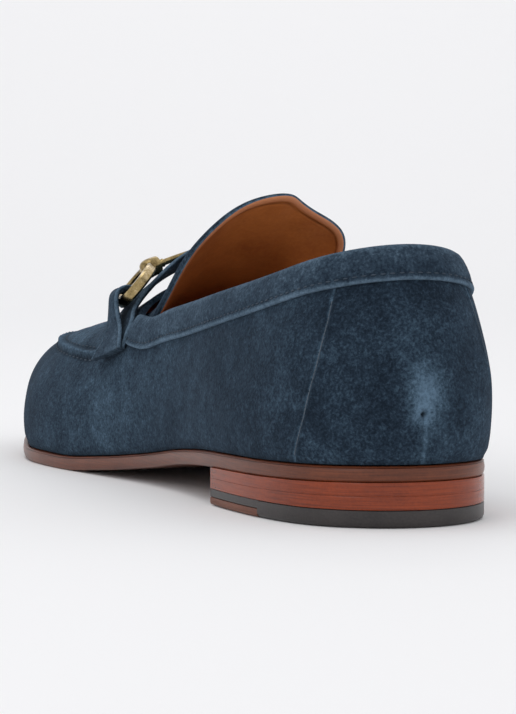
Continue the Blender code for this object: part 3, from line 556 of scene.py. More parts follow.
# Soft troughs and ridges: where their middle is, then half length, half width, height and slant
FOLDS = named_columns("side turn climb half_length half_width height slant", [
    (LATERAL, 0.250, 0.22, 0.030, 0.0080, -0.0007, 0.20),
    (LATERAL, 0.330, 0.30, 0.026, 0.0070, 0.0005, -0.30),
    (LATERAL, 0.400, 0.18, 0.024, 0.0060, -0.0006, 0.15),
    (LATERAL, 0.560, 0.46, 0.014, 0.0030, -0.0005, 0.90),
    (LATERAL, 0.600, 0.50, 0.016, 0.0028, -0.0004, 1.05),
    (LATERAL, 0.640, 0.40, 0.018, 0.0040, 0.0003, 1.00),
    (LATERAL, 0.060, 0.30, 0.010, 0.0050, -0.0004, 1.20),
    (MEDIAL, 0.280, 0.24, 0.030, 0.0080, -0.0007, -0.15),
    (MEDIAL, 0.420, 0.26, 0.026, 0.0065, -0.0006, 0.25),
    (MEDIAL, 0.555, 0.48, 0.014, 0.0030, -0.0005, 0.95),
    (MEDIAL, 0.605, 0.50, 0.015, 0.0028, -0.0004, 1.10),
    (MEDIAL, 0.080, 0.26, 0.012, 0.0055, -0.0004, 1.10),
])


def upper_turns():
    """Turns of the upper's columns, closer at the dart, the counter seam and the throat."""
    seam = COUNTER_SEAM["turn"][0]
    throat = float(turn_at(throat_station()))
    before = seam - SEAM_ZONE
    after = seam + SEAM_ZONE
    runs = [np.linspace(0, DART_ZONE, 14), np.linspace(DART_ZONE, before, 36),
            np.linspace(before, after, 25), np.linspace(after, THROAT_ZONE, 60),
            np.linspace(THROAT_ZONE, throat, 20), np.linspace(throat, 1, 125)]
    turns = np.unique(np.concatenate(runs).round(7))
    return turns, int(np.argmin(abs(turns - throat))), int(np.argmin(abs(turns - seam)))


def upper_shares():
    """Heights of the upper's rows as shares, closer at the foot and at the apron's seam."""
    below = APRON_SHARE - APRON_ZONE
    above = APRON_SHARE + APRON_ZONE
    runs = [np.linspace(0, FOOT_ZONE, 8), np.linspace(FOOT_ZONE, below, 32),
            np.linspace(below, above, 21), np.linspace(above, 1, 20)]
    return np.unique(np.concatenate(runs).round(7))


def drawn_climb(station, share, level):
    """Climb of a row of the wall, drawn towards the apron's seam where the wall has one."""
    drawn = np.clip((station - APRON_START) / APRON_RUN, 0, 1)
    seam = monotone_cubic(APRON["station"], APRON["climb"], station)
    seam = APRON_SHARE * level + (seam - APRON_SHARE * level) * drawn
    below = seam * share / APRON_SHARE
    above = seam + (level - seam) * (share - APRON_SHARE) / (1 - APRON_SHARE)
    return np.where(share <= APRON_SHARE, below, above)


def upper_grid(side, turns, throat, shares):
    """Turn, climb and place of every point of one side, with the columns bent along the seam."""
    scan = np.linspace(0, turns[throat], SAMPLES_ALONG)
    scanned = np.array([collar_climb(side, turn) for turn in scan])
    level = np.where(turns >= turns[throat], 1.0, np.interp(turns, scan, scanned))
    climb = level[:, None] * shares
    seam = COUNTER_SEAM["turn"][0]
    pull = np.cos(np.clip((turns - seam) / SEAM_PULL, -1, 1) * math.pi / 2) ** 2
    bent = np.interp(climb, COUNTER_SEAM["climb"], COUNTER_SEAM["turn"]) - seam
    turn = turns[:, None] + bent * pull[:, None]
    level = np.where(turns[:, None] >= turns[throat], 1.0, np.interp(turn, scan, scanned))
    climb = drawn_climb(station_at(turn), shares[None, :], level)
    return turn, climb, skin_point(side, turn, climb, 0.0)


def arc_along(points, axis, start):
    """Distance along a grid's rows or columns, counted from one of them."""
    steps = np.linalg.norm(np.diff(points, axis=axis), axis=-1)
    first = np.zeros_like(np.take(steps, [0], axis))
    arc = np.concatenate([first, np.cumsum(steps, axis)], axis)
    return arc - np.take(arc, [start], axis)


def upper_relief(side, turn, climb, points, throat, seam_column, shares):
    """How far the suede stands out from the last, how much wear and painted highlight lighten it there,
    and its painted shade.
    """
    station = station_at(turn)
    wall = arc_along(points, 1, 0)
    around = arc_along(points, 0, 0)
    from_apron = wall - wall[:, [int(np.argmin(abs(shares - APRON_SHARE)))]]
    grown = smoothstep((station - APRON_SHOWN_FROM) / APRON_GROWS_OVER)
    pleats = 1 + 0.20 * np.cos(2 * math.pi * around / APRON_PLEAT)
    relief = grown * APRON_RIDGE * pleats * bell(from_apron, APRON_RIDGE_HALF)
    relief += grown * stripes(from_apron, APRON_TROUGHS)
    shade = grown * stripes(from_apron, APRON_SHADES)
    # Lighter along the apron's ridge and over the apron above its seam
    wear_and_highlight = grown * (stripes(from_apron, APRON_LIGHT_STRIPES) + 0.16 * smoothstep(from_apron / 0.004))

    from_seam = arc_along(points, 0, seam_column)
    relief += stripes(abs(from_seam), SEAM_LIPS) + stripes(from_seam, SEAM_GROOVE)
    shade += stripes(from_seam, SEAM_SHADE)
    wear_and_highlight += stripes(from_seam, SEAM_WORN) * (0.8 + 0.2 * np.sin(wall * SEAM_WAVES))

    height = points[..., 2]
    over_foot = smoothstep((height - DART_FOOT + 0.003) / 0.002)
    in_dart = over_foot * smoothstep((DART_TOP + 0.001 - height) / 0.001)
    from_hole = np.hypot(around, height - DART_TOP)
    sweep = np.arctan2(height - DART_TOP, around)
    relief -= in_dart * DART_DEPTH * bell(around, 0.0005) + HOLE_DEPTH * bell(from_hole, 0.0008)
    relief += PUCKER_HEIGHT * np.cos(PUCKERS * sweep) * bell(from_hole - 0.0035, 0.0030)
    shade += in_dart * 0.25 * bell(around + 0.0006, 0.0004) + bell(from_hole, 0.0008)
    wear_and_highlight += 0.35 * in_dart * bell(around - 0.0005 * side, 0.0006) + 0.3 * bell(from_hole - 0.002, 0.0015)
    # Painted highlight on the nap above the dart at the back of the heel
    wear_and_highlight += 0.70 * bell(around, NAP_HIGHLIGHT_HALF_WIDTH) * bell(height - DART_TOP - NAP_HIGHLIGHT_RISE, NAP_HIGHLIGHT_HALF_HEIGHT)

    for index in np.flatnonzero(FOLDS["side"] == side):
        fold = {name: values[index] for name, values in FOLDS.items()}
        apart = abs(turn - fold["turn"]) + abs(climb - fold["climb"])
        place = np.unravel_index(np.argmin(apart), turn.shape)
        ahead = around - around[place]
        above = wall - wall[place]
        run = ahead * math.cos(fold["slant"]) + above * math.sin(fold["slant"])
        off = above * math.cos(fold["slant"]) - ahead * math.sin(fold["slant"])
        relief += fold["height"] * bell(run, fold["half_length"]) * bell(off, fold["half_width"])
    ripples = np.sin(around * RIPPLES_AROUND + 1.3 * side) * np.sin(wall * RIPPLES_UP + side)
    relief += RIPPLE_HEIGHT * ripples
    relief -= FOOT_TUCK * (1 - smoothstep(wall / 0.0030))
    shade += 0.45 * (1 - smoothstep(wall / 0.0014))
    # Painted light: the up-facing top of the toe made lighter
    wear_and_highlight += 0.22 * smoothstep((station - 0.86) / 0.10) * smoothstep((climb - 0.45) / 0.3)
    return relief, np.clip(wear_and_highlight, 0, 1), np.clip(shade, 0, 1)


turns, throat, seam_column = upper_turns()
shares = upper_shares()
size = (len(turns), len(shares))
points_per_side = len(turns) * len(shares)
apron_row = int(np.argmin(abs(shares - APRON_SHARE)))
index_of = {}
layers = {"points": [], "relief": [], "wear_and_highlight": [], "shade": []}
apron_lines = {}
seam_lines = {}
for side in SIDES:
    turn, climb, points = upper_grid(side, turns, throat, shares)
    relief, wear_and_highlight, shade = upper_relief(side, turn, climb, points, throat, seam_column, shares)
    for name, values in zip(layers, (points, relief, wear_and_highlight, shade)):
        layers[name].append(values.reshape(points_per_side, -1))
    first = 0 if side == LATERAL else points_per_side
    index_of[side] = np.arange(points_per_side).reshape(size) + first
    shown = station_at(turn[:, apron_row]) > APRON_SHOWN_FROM + APRON_GROWS_OVER
    apron_lines[side] = (turn[shown, apron_row], climb[shown, apron_row])
    seam_lines[side] = (turn[seam_column], climb[seam_column])
index_of[MEDIAL][0] = index_of[LATERAL][0]
index_of[MEDIAL][-1] = index_of[LATERAL][-1]
index_of[MEDIAL][throat:, -1] = index_of[LATERAL][throat:, -1]
skin = np.concatenate(layers["points"])
relief = np.concatenate(layers["relief"])
wear_and_highlight = np.concatenate(layers["wear_and_highlight"])
shade = np.concatenate(layers["shade"])
outer_faces = []
for side in SIDES:
    index = index_of[side]
    quads = np.stack([index[:-1, :-1], index[1:, :-1], index[1:, 1:], index[:-1, 1:]], -1)
    outer_faces += [quad[::side] for quad in quads.reshape(-1, 4).tolist()]
wall_mesh = bpy.data.meshes.new("wall")
wall_mesh.from_pydata(skin.tolist(), [], outer_faces)
normals = np.zeros(len(skin) * 3, np.float32)
wall_mesh.vertex_normals.foreach_get("vector", normals)
normals = normals.reshape(-1, 3).astype(float)
bpy.data.meshes.remove(wall_mesh)
feet = np.unique(np.concatenate([index_of[side][:, 0] for side in SIDES]))
normals[feet, 2] = 0
normals /= np.maximum(np.linalg.norm(normals, axis=1, keepdims=True), 1e-9)
suede_face = skin + normals * relief
lining_face = skin - normals * UPPER_WALL
count = len(skin)
inner_faces = [[count + corner for corner in face[::-1]] for face in outer_faces]
rim_faces = []
loops = [index_of[LATERAL][:, 0].tolist() + index_of[MEDIAL][-2:0:-1, 0].tolist(),
         index_of[LATERAL][:throat + 1, -1].tolist() + index_of[MEDIAL][throat - 1:0:-1, -1].tolist()]
for loop in loops:
    for here, there in zip(loop, loop[1:] + loop[:1]):
        rim_faces.append([here, there, count + there, count + here])
painted = [0] * len(outer_faces) + [1] * len(inner_faces) + [0] * len(rim_faces)
used = np.unique(np.concatenate([index_of[LATERAL].ravel(), index_of[MEDIAL].ravel()]))
renumber = np.full(2 * count, -1)
kept = np.concatenate([used, used + count])
renumber[kept] = np.arange(len(kept))
everything = [renumber[face].tolist() for face in outer_faces + inner_faces + rim_faces]
both = np.concatenate([suede_face, lining_face])[kept]
upper = make_piece("upper_suede", both, everything, [navy_suede, tan_lining], painted,
                   {"wear_and_highlight": np.concatenate([wear_and_highlight, 0 * wear_and_highlight])[kept],
                    "shade": np.concatenate([shade, 0 * shade])[kept]})
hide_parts("upper")
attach(upper, "root")


# Collar band
# A strip of the same suede folded over the edge of the quarters and stitched down along its lower
# edge, from the tab on one side round the heel to the tab on the other.

BAND_END = 0.512
BAND_STITCH_LINE = 0.0083
STITCH_PITCH = 0.0026
BAND_STOPS = 150
BAND_SAMPLES = 121
PROBE = 0.0001

# Lighter lines on the band, at its lower edge and at its top: strength, place and half width
BAND_LIGHT_LINES = [(0.75, 0.0099, 0.0005), (0.30, 0.0, 0.0012)]

# Cross section of the band: distance down the wall from its edge and out from the last
BAND_PROFILE = named_columns("down out", [
    (0.00300, -0.00225),
    (0.00250, -0.00262),
    (0.00120, -0.00272),
    (0.00030, -0.00262),
    (-0.00040, -0.00215),
    (-0.00065, -0.00130),
    (-0.00060, -0.00030),
    (-0.00020, 0.00070),
    (0.00060, 0.00125),
    (0.00200, 0.00155),
    (0.00400, 0.00170),
    (0.00600, 0.00165),
    (0.00740, 0.00145),
    (0.00810, 0.00115),
    (0.00835, 0.00105),
    (0.00860, 0.00118),
    (0.00910, 0.00138),
    (0.00960, 0.00136),
    (0.01000, 0.00105),
    (0.01012, 0.00060),
    (0.01005, 0.00010),
    (0.00850, 0.00004),
    (0.00200, 0.00004),
    (0.00200, -0.00205),
])


def climb_table(side, turn):
    """Climb by distance down the wall from the upper's edge."""
    climbs = np.linspace(0, collar_climb(side, turn), BAND_SAMPLES)
    points = last_point(side, turn, climbs)
    steps = np.linalg.norm(np.diff(points, axis=0), axis=1)
    below = np.concatenate([[0], np.cumsum(steps[::-1])])
    return below, climbs[::-1]


def wall_at(side, turn, down, out):
    """Points beside the upper's edge, by distance down the wall and out from it."""
    below, climbs = climb_table(side, turn)
    climb = np.interp(np.maximum(down, 0), below, climbs)
    points = skin_point(side, turn, climb, out)
    slope = unit(last_point(side, turn, climbs[0]) - last_point(side, turn, climbs[2]))
    return points + np.maximum(-down, 0)[:, None] * slope


def loft_faces(rings, columns, closed_along=False):
    """Faces between closed rings of points, with end caps where the loft is open."""
    faces = []
    for ring in range(rings if closed_along else rings - 1):
        here = ring * columns
        there = (ring + 1) % rings * columns
        for column in range(columns):
            beside = (column + 1) % columns
            faces.append([here + column, here + beside, there + beside, there + column])
    if not closed_along:
        faces.append(list(range(columns))[::-1])
        faces.append([(rings - 1) * columns + column for column in range(columns)])
    return faces


def round_heel(last_station, count):
    """Sides and turns from the lateral end round the heel to the medial end."""
    last_turn = float(turn_at(last_station))
    half = np.linspace(last_turn, 0, count)
    return [(LATERAL, turn) for turn in half] + [(MEDIAL, turn) for turn in half[-2::-1]]


def sewn_thread_tree():
    """Geometry nodes that lay even stitches along a line whose points hold an outward direction."""
    tree = bpy.data.node_groups.new("sewn thread", "GeometryNodeTree")
    sockets = [("Line", "NodeSocketGeometry"), ("Pitch", "NodeSocketFloat"),
               ("Stitch length", "NodeSocketFloat"), ("Thread width", "NodeSocketFloat"),
               ("Thread height", "NodeSocketFloat"), ("Unevenness", "NodeSocketFloat"),
               ("Seed", "NodeSocketInt"), ("Thread", "NodeSocketMaterial")]
    for label, kind in sockets:
        tree.interface.new_socket(name=label, in_out="INPUT", socket_type=kind)
    tree.interface.new_socket(name="Stitches", in_out="OUTPUT", socket_type="NodeSocketGeometry")
    given = tree.nodes.new("NodeGroupInput").outputs
    curve = node(tree, "GeometryNodeMeshToCurve", {"Mesh": given["Line"]})
    even = node(tree, "GeometryNodeResampleCurve", {"Curve": curve.outputs[0], "Length": given["Pitch"]},
                mode="LENGTH")
    bead = node(tree, "GeometryNodeMeshUVSphere", {"Segments": 8, "Rings": 6, "Radius": 0.5})
    scale = node(tree, "ShaderNodeCombineXYZ", {"X": given["Stitch length"], "Y": given["Thread width"],
                                                "Z": given["Thread height"]})
    stitch = node(tree, "GeometryNodeTransform", {"Geometry": bead.outputs["Mesh"],
                                                  "Scale": scale.outputs[0]})
    smooth = node(tree, "GeometryNodeSetShadeSmooth", {"Geometry": stitch.outputs[0]})
    tangent = tree.nodes.new("GeometryNodeInputTangent")
    outward = node(tree, "GeometryNodeInputNamedAttribute", {"Name": "outward"}, data_type="FLOAT_VECTOR")
    lying = node(tree, "FunctionNodeAlignRotationToVector", {"Vector": tangent.outputs[0]}, axis="X")
    turned = node(tree, "FunctionNodeAlignRotationToVector",
                  {"Rotation": lying.outputs[0], "Vector": outward.outputs["Attribute"]},
                  axis="Z", pivot_axis="X")
    least = node(tree, "ShaderNodeMath", {0: 1.0, 1: given["Unevenness"]}, operation="SUBTRACT")
    uneven = node(tree, "FunctionNodeRandomValue", {2: least.outputs[0], 3: 1.0, "Seed": given["Seed"]},
                  data_type="FLOAT")
    placed = node(tree, "GeometryNodeInstanceOnPoints",
                  {"Points": even.outputs[0], "Instance": smooth.outputs[0],
                   "Rotation": turned.outputs[0], "Scale": uneven.outputs[1]})
    real = node(tree, "GeometryNodeRealizeInstances", {"Geometry": placed.outputs[0]})
    finished = node(tree, "GeometryNodeSetMaterial", {"Geometry": real.outputs[0],
                                                      "Material": given["Thread"]})
    node(tree, "NodeGroupOutput", {0: finished.outputs[0]})
    return tree


sewn_thread = sewn_thread_tree()


def sew(name, lines, thread, pitch=STITCH_PITCH, length=0.0017, width=0.00050, height=0.00042,
        unevenness=0.14, seed=7):
    """Stitches along one or more lines, each a pair of points and outward directions."""
    mesh = bpy.data.meshes.new(name)
    points = np.concatenate([line for line, _ in lines]) - (0, HEEL_CENTRE, 0)
    outward = np.concatenate([directions for _, directions in lines])
    edges = []
    start = 0
    for line, _ in lines:
        edges += [(start + index, start + index + 1) for index in range(len(line) - 1)]
        start += len(line)
    mesh.from_pydata(points.tolist(), edges, [])
    layer = mesh.attributes.new("outward", "FLOAT_VECTOR", "POINT")
    layer.data.foreach_set("vector", outward.astype(np.float32).ravel())
    line_object = add_object(name + "_line", mesh)
    modifier = line_object.modifiers.new("stitches", "NODES")
    modifier.node_group = sewn_thread
    wanted = {"Pitch": pitch, "Stitch length": length, "Thread width": width, "Thread height": height,
              "Unevenness": unevenness, "Seed": seed, "Thread": thread}
    for item in sewn_thread.interface.items_tree:
        if item.name in wanted:
            modifier[item.identifier] = wanted[item.name]
    line_object.update_tag()
    graph = bpy.context.evaluated_depsgraph_get()
    graph.update()
    stitched = bpy.data.meshes.new_from_object(line_object.evaluated_get(graph))
    line_object.modifiers.clear()
    bpy.data.objects.remove(line_object)
    stitched.name = name
    piece = add_object(name, stitched)
    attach(piece, "root")
    return piece


band_suede = suede("collar suede", (0.012, 0.021, 0.034), (0.027, 0.045, 0.068), (0.052, 0.083, 0.117),
                   (0.125, 0.190, 0.260))
navy_thread = leather("navy thread", (0.024, 0.038, 0.058), (0.048, 0.072, 0.102), 0.8, 0.0, 3000, 0.2)
stops = round_heel(BAND_END, BAND_STOPS)
rings = []
line = []
directions = []
for number, (side, turn) in enumerate(stops):
    pucker = 1 + 0.05 * math.sin(number * 0.31) + 0.04 * math.sin(number * 0.13)
    out = np.where(BAND_PROFILE["out"] > 0.0009, BAND_PROFILE["out"] * pucker, BAND_PROFILE["out"])
    rings.append(wall_at(side, turn, BAND_PROFILE["down"], out))
    low, high = wall_at(side, turn, np.full(2, BAND_STITCH_LINE), np.array([0.0, 0.00125]))
    line.append(high)
    directions.append(unit(high - low))
columns = len(BAND_PROFILE["down"])
# Painted shade in the stitch groove and on the band's inner flap and underside
stitch_line_shade = stripes(BAND_PROFILE["down"], [(0.15, BAND_STITCH_LINE, 0.0004)])
shade = np.tile(stitch_line_shade + 0.6 * (BAND_PROFILE["out"] < 0.0002), len(stops))
wear_and_highlight = np.tile(stripes(BAND_PROFILE["down"], BAND_LIGHT_LINES), len(stops))
band = make_piece("collar_band_suede", np.array(rings), loft_faces(len(stops), columns), [band_suede],
                  attributes={"wear_and_highlight": wear_and_highlight, "shade": shade})
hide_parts("collar_band")
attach(band, "root")
band_thread = sew("collar_band_thread", [(np.array(line), np.array(directions))], navy_thread)


def line_on_upper(side, turn, climb, sunk):
    """Points of a seam a little under the suede's surface, with the directions out of it."""
    foot = skin_point(side, turn, climb, 0.0)
    outward = (skin_point(side, turn, climb, PROBE) - foot) / PROBE
    return foot - outward * sunk, outward


seam_thread_lines = []
for side in SIDES:
    turn, climb = seam_lines[side]
    shown = (climb > 0.02) & (climb < collar_climb(side, float(turn[0])) * 0.80)
    seam_thread_lines.append(line_on_upper(side, turn[shown], climb[shown], 0.00012))
pale_thread = leather("pale navy thread", (0.060, 0.080, 0.105), (0.110, 0.140, 0.175), 0.7, 0.0,
                      3000, 0.2)
seam_thread = sew("counter_seam_thread", seam_thread_lines, pale_thread, pitch=0.0011, length=0.0013,
                  width=0.00036, height=0.00040)

apron_thread_lines = []
for side in SIDES:
    turn, climb = apron_lines[side]
    for climb_step in (-0.030, 0.030):
        apron_thread_lines.append(line_on_upper(side, turn[6:], climb[6:] + climb_step, 0.00015))
apron_thread = sew("apron_thread", apron_thread_lines, navy_thread, pitch=0.0042, length=0.0024,
                   width=0.00048, height=0.00050)


# Tongue
# A tall flap that stands up over the instep: suede in front, tan lining behind, sewn together
# along a line a few millimetres inside its edge and trimmed close.

TONGUE_TUCK = 0.0100
TONGUE_GAP = 0.0011
TONGUE_WALL = 0.0022
TONGUE_FLARE_LATERAL = 0.0058
TONGUE_FLARE_MEDIAL = 0.0120
FLARE_START_LATERAL = 0.014
FLARE_START_MEDIAL = 0.030
FLARE_RUN = 0.100
FLARE_CLIMB = 0.20
TONGUE_LOW_CLIMB = 0.40
SADDLE_STATION = 0.550
TONGUE_STITCH_INSET = 0.0032
TONGUE_COLUMNS = 96
TONGUE_ROWS = 72
SMOOTHING_ROUNDS = 40
EDGE_ROUNDING = 0.0007
STITCH_SINK = 0.00030
PADDING = 0.00030

# Edge of the tongue on each side and the share of that side's flare, by how far round its arch
TONGUE_EDGE = named_columns("round_arch lateral medial flare_lateral flare_medial", [
    (0.00, 0.416, 0.416, 0.00, 0.00),
    (0.20, 0.411, 0.414, 0.19, 0.02),
    (0.40, 0.404, 0.408, 0.46, 0.14),
    (0.58, 0.408, 0.404, 0.62, 0.62),
    (0.74, 0.430, 0.413, 0.94, 0.98),
    (0.88, 0.468, 0.448, 1.00, 1.00),
    (1.00, 0.510, 0.502, 1.00, 1.00),
])


def tongue_surface(columns, rows):
    """Front face of the tongue, from its lateral to its medial border and up to its edge."""
    base = throat_station() + TONGUE_TUCK / SOLE_LENGTH
    grid = []
    for across in np.linspace(-1, 1, columns + 1):
        side = LATERAL if across < 0 else MEDIAL
        label = "lateral" if side == LATERAL else "medial"
        edge = natural_cubic(TONGUE_EDGE["round_arch"], TONGUE_EDGE[label], abs(across))
        climb = 1 - (1 - TONGUE_LOW_CLIMB) * abs(across)
        turn = turn_at(np.linspace(base, edge, rows + 1))
        flare = TONGUE_FLARE_LATERAL if side == LATERAL else TONGUE_FLARE_MEDIAL
        flare_start = SADDLE_STATION - (FLARE_START_LATERAL if side == LATERAL else FLARE_START_MEDIAL)
        flare *= monotone_cubic(TONGUE_EDGE["round_arch"], TONGUE_EDGE["flare_" + label], abs(across))
        behind = smoothstep((flare_start - station_at(turn)) / FLARE_RUN)
        levels = np.array([collar_climb(side, one) for one in turn[::6]])
        level = np.interp(turn, turn[::6][::-1], levels[::-1])
        above = np.clip((climb - level) / FLARE_CLIMB, 0, 1)
        grid.append(skin_point(side, turn, climb, flare * behind * above - UPPER_WALL - TONGUE_GAP))
    grid = np.array(grid)
    for _ in range(SMOOTHING_ROUNDS):
        grid[1:-1] += 0.5 * ((grid[:-2] + grid[2:]) / 2 - grid[1:-1])
    return grid


def grid_normals(grid, towards):
    """Unit normals of a grid of points, on the side that the given direction points to."""
    found = unit(np.cross(np.gradient(grid, axis=0), np.gradient(grid, axis=1)))
    middle = found[grid.shape[0] // 2, grid.shape[1] // 2]
    return found if middle @ np.asarray(towards, float) > 0 else -found


def sheet_faces(rows, columns):
    """Faces of a closed sheet: first its face, then its back, then its rim."""
    face = []
    for row in range(rows - 1):
        for column in range(columns - 1):
            corner = row * columns + column
            face.append([corner, corner + 1, corner + columns + 1, corner + columns])
    layer = rows * columns
    back = [[layer + corner for corner in quad[::-1]] for quad in face]
    rim = [(0, column) for column in range(columns)]
    rim += [(row, columns - 1) for row in range(1, rows)]
    rim += [(rows - 1, column) for column in range(columns - 2, -1, -1)]
    rim += [(row, 0) for row in range(rows - 2, 0, -1)]
    order = [row * columns + column for row, column in rim]
    edge = [[there, here, layer + here, layer + there]
            for here, there in zip(order, order[1:] + order[:1])]
    return face, back, edge


def stacked(upper_layer, lower_layer):
    """Points of a sheet's two layers in one list, as sheet_faces counts them."""
    return np.concatenate([upper_layer.reshape(-1, 3), lower_layer.reshape(-1, 3)])


def distance_to(points, line):
    """Distance of every point of a grid to the nearest point of a line."""
    flat = points.reshape(-1, 3)
    best = np.full(len(flat), 1.0)
    for start in range(0, len(line), 40):
        gaps = np.linalg.norm(flat[:, None] - line[None, start:start + 40], axis=-1)
        best = np.minimum(best, gaps.min(axis=1))
    return best.reshape(points.shape[:-1])


front = tongue_surface(TONGUE_COLUMNS, TONGUE_ROWS)
front_normal = grid_normals(front, (0, 0, 1))
rim_line = np.concatenate([front[0], front[:, -1], front[-1][::-1]])
quarters = [rim_line[:-1] + np.diff(rim_line, axis=0) * share for share in (0, 0.25, 0.5, 0.75)]
inset = distance_to(front, np.concatenate(quarters))
rounding = EDGE_ROUNDING * (1 - smoothstep(inset / 0.0012))
groove = STITCH_SINK * bell(inset - TONGUE_STITCH_INSET, 0.0005)
puff = PADDING * smoothstep((inset - TONGUE_STITCH_INSET) / 0.006)
back_face = front - front_normal * (TONGUE_WALL - rounding - groove + puff)[..., None]
front_face = front - front_normal * (rounding + groove)[..., None]
face, back, edge = sheet_faces(*front.shape[:2])
# The lining lighter near the tongue's edge
tongue_lighter_rim = np.concatenate([np.zeros(inset.size),
                              (0.90 * (1 - smoothstep((inset - 0.0016) / 0.0010))).ravel()])
tongue_shade = np.concatenate([(0.5 * bell(inset - TONGUE_STITCH_INSET, 0.0004)).ravel(),
                               (0.60 * bell(inset - TONGUE_STITCH_INSET, 0.00035)).ravel()])
tongue = make_piece("tongue_flap", stacked(front_face, back_face), face + back + edge,
                    [navy_suede, tan_lining],
                    [0] * len(face) + [1] * len(back) + [0] * len(edge),
                    {"wear_and_highlight": tongue_lighter_rim, "shade": tongue_shade})
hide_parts("tongue")
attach(tongue, "root")


# Insole
# The sock of the footbed: thin brown leather over a cork layer, pressed up a little at its edge
# where it meets the lining, and lying on the sole inside the upper.

INSOLE_THICKNESS = 0.0030
SOCK_CUP = 0.0012
SOCK_COLUMNS = 150
SOCK_ROWS = 24


def cross_plate(inset, columns, rows, level):
    """Grid over the sole's outline, inset from it, from the lateral to the medial side."""
    turn = np.linspace(0, 1, columns + 1)
    edges = []
    for side in SIDES:
        edges.append(outline_point(side, turn) - outline_normal(side, turn) * inset(turn)[:, None])
    share = np.linspace(0, 1, rows + 1)
    plan = edges[0][:, None] * (1 - share)[None, :, None] + edges[1][:, None] * share[None, :, None]
    return np.concatenate([plan, level(plan[..., 1], share)[..., None]], -1)


def sock_inset(turn):
    return margin_at(station_at(turn)) + UPPER_WALL + 2 * CLEARANCE


def sock_top(along, share):
    cupped = SOCK_CUP * np.abs(2 * share - 1) ** 4
    return rise(along) + SOLE_THICKNESS + CLEARANCE + INSOLE_THICKNESS + cupped[None, :]


def sock_foot(along, share):
    return rise(along) + SOLE_THICKNESS + CLEARANCE + 0 * share[None, :]


sock_leather = leather("brown sock leather", (0.085, 0.032, 0.013), (0.140, 0.055, 0.023), 0.58, 0.0,
                       700, 0.25)
top = cross_plate(sock_inset, SOCK_COLUMNS, SOCK_ROWS, sock_top)
foot = cross_plate(sock_inset, SOCK_COLUMNS, SOCK_ROWS, sock_foot)
face, back, edge = sheet_faces(*top.shape[:2])
sock = make_piece("insole_sock", stacked(top, foot), face + back + edge, [sock_leather])
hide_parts("insole")
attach(sock, "root")


# Outsole
# One piece of sole leather along the whole shoe, its edge rounded, burnished dark and polished,
# with a fine line rolled into it near the top.

SOLE_COLUMNS = 220

# Section of the sole's edge: inset from the outline and share of the thickness
SOLE_EDGE = named_columns("inset height", [
    (0.0080, 1.000),
    (0.0022, 1.000),
    (0.0009, 0.990),
    (0.0003, 0.950),
    (0.0001, 0.900),
    (0.0003, 0.860),
    (0.0001, 0.820),
    (0.0000, 0.700),
    (-0.0001, 0.500),
    (0.0000, 0.300),
    (0.0002, 0.150),
    (0.0004, 0.050),
    (0.0008, 0.010),
    (0.0016, 0.000),
    (0.0080, 0.000),
])


def edge_leather(name, dark, light, roughness, coat):
    """Burnished edge of stacked leather: fine fibres along the edge under a polished wax."""
    material, tree, shader = new_material(name, roughness, specular=0.35, coat=coat)
    place = object_place(tree)
    stretched = node(tree, "ShaderNodeMapping", {"Vector": place, "Scale": (70, 70, 2600)})
    fibre = noise(tree, stretched.outputs[0], 1.0, 4.0, 0.65)
    cloud = noise(tree, place, 45, 3.0, 0.6)
    speck = noise(tree, place, 1300, 2.0, 0.6)
    tone = blend_sum(tree, [(fibre, 0.5), (cloud, 0.35), (speck, 0.15)])
    lit = ramp(tree, tone, [(0.34, dark), (0.68, light)])
    shaded = painted_over(tree, "shade", lit, [0.25 * part for part in dark])
    tree.links.new(shaded, shader.inputs["Base Color"])
    roughen(tree, shader, blend_sum(tree, [(fibre, 0.7), (speck, 0.3)]), 0.22, 0.0003)
    return material


def plate(name, edge_rows, level, first, last, columns, material, shade_rows=None):
    """Plate of the sole's outline between two stations, with a shaped edge and flat faces."""
    loops = []
    for row_inset, share in zip(edge_rows["inset"], edge_rows["height"]):
        loop = []
        for side in SIDES:
            turn = np.linspace(float(turn_at(first)), float(turn_at(last[side])), columns + 1)
            plan = outline_point(side, turn) - outline_normal(side, turn) * row_inset
            height = level(plan[:, 1], share)
            loop.append(np.concatenate([plan, height[:, None]], 1))
        loops.append(loop)
    points = np.array(loops)
    index = np.arange(points.size // 3).reshape(points.shape[:3])
    faces = []
    for row in range(index.shape[0] - 1):
        for side in (0, 1):
            here = index[row, side]
            below = index[row + 1, side]
            faces += np.stack([here[:-1], here[1:], below[1:], below[:-1]], -1).tolist()
        for column in (0, columns):
            faces.append([int(index[row, 0, column]), int(index[row, 1, column]),
                          int(index[row + 1, 1, column]), int(index[row + 1, 0, column])])
    for row in (0, index.shape[0] - 1):
        one, other = index[row]
        faces += np.stack([one[:-1], one[1:], other[1:], other[:-1]], -1).tolist()
    shade = np.zeros(points.shape[:3])
    if shade_rows is not None:
        shade += np.asarray(shade_rows)[:, None, None]
    return make_piece(name, points, faces, [material], attributes={"shade": shade}, sharp=50)


def sole_level(along, share):
    return rise(along) + SOLE_THICKNESS * share


sole_leather = edge_leather("burnished sole edge", (0.050, 0.013, 0.006), (0.200, 0.052, 0.019),
                            0.34, 0.06)
whole = {LATERAL: 1.0, MEDIAL: 1.0}
line_shade = 0.5 * bell(SOLE_EDGE["height"] - 0.860, 0.03) + 0.3 * (SOLE_EDGE["height"] > 0.96)
outsole = plate("outsole_leather", SOLE_EDGE, sole_level, 0.0, whole, SOLE_COLUMNS, sole_leather,
                line_shade)
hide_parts("outsole")
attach(outsole, "root")


# Heel
# Two leather lifts nailed and glued under the sole, sanded and polished as one, over a rubber
# tip that has a leather inlay let into its front half.

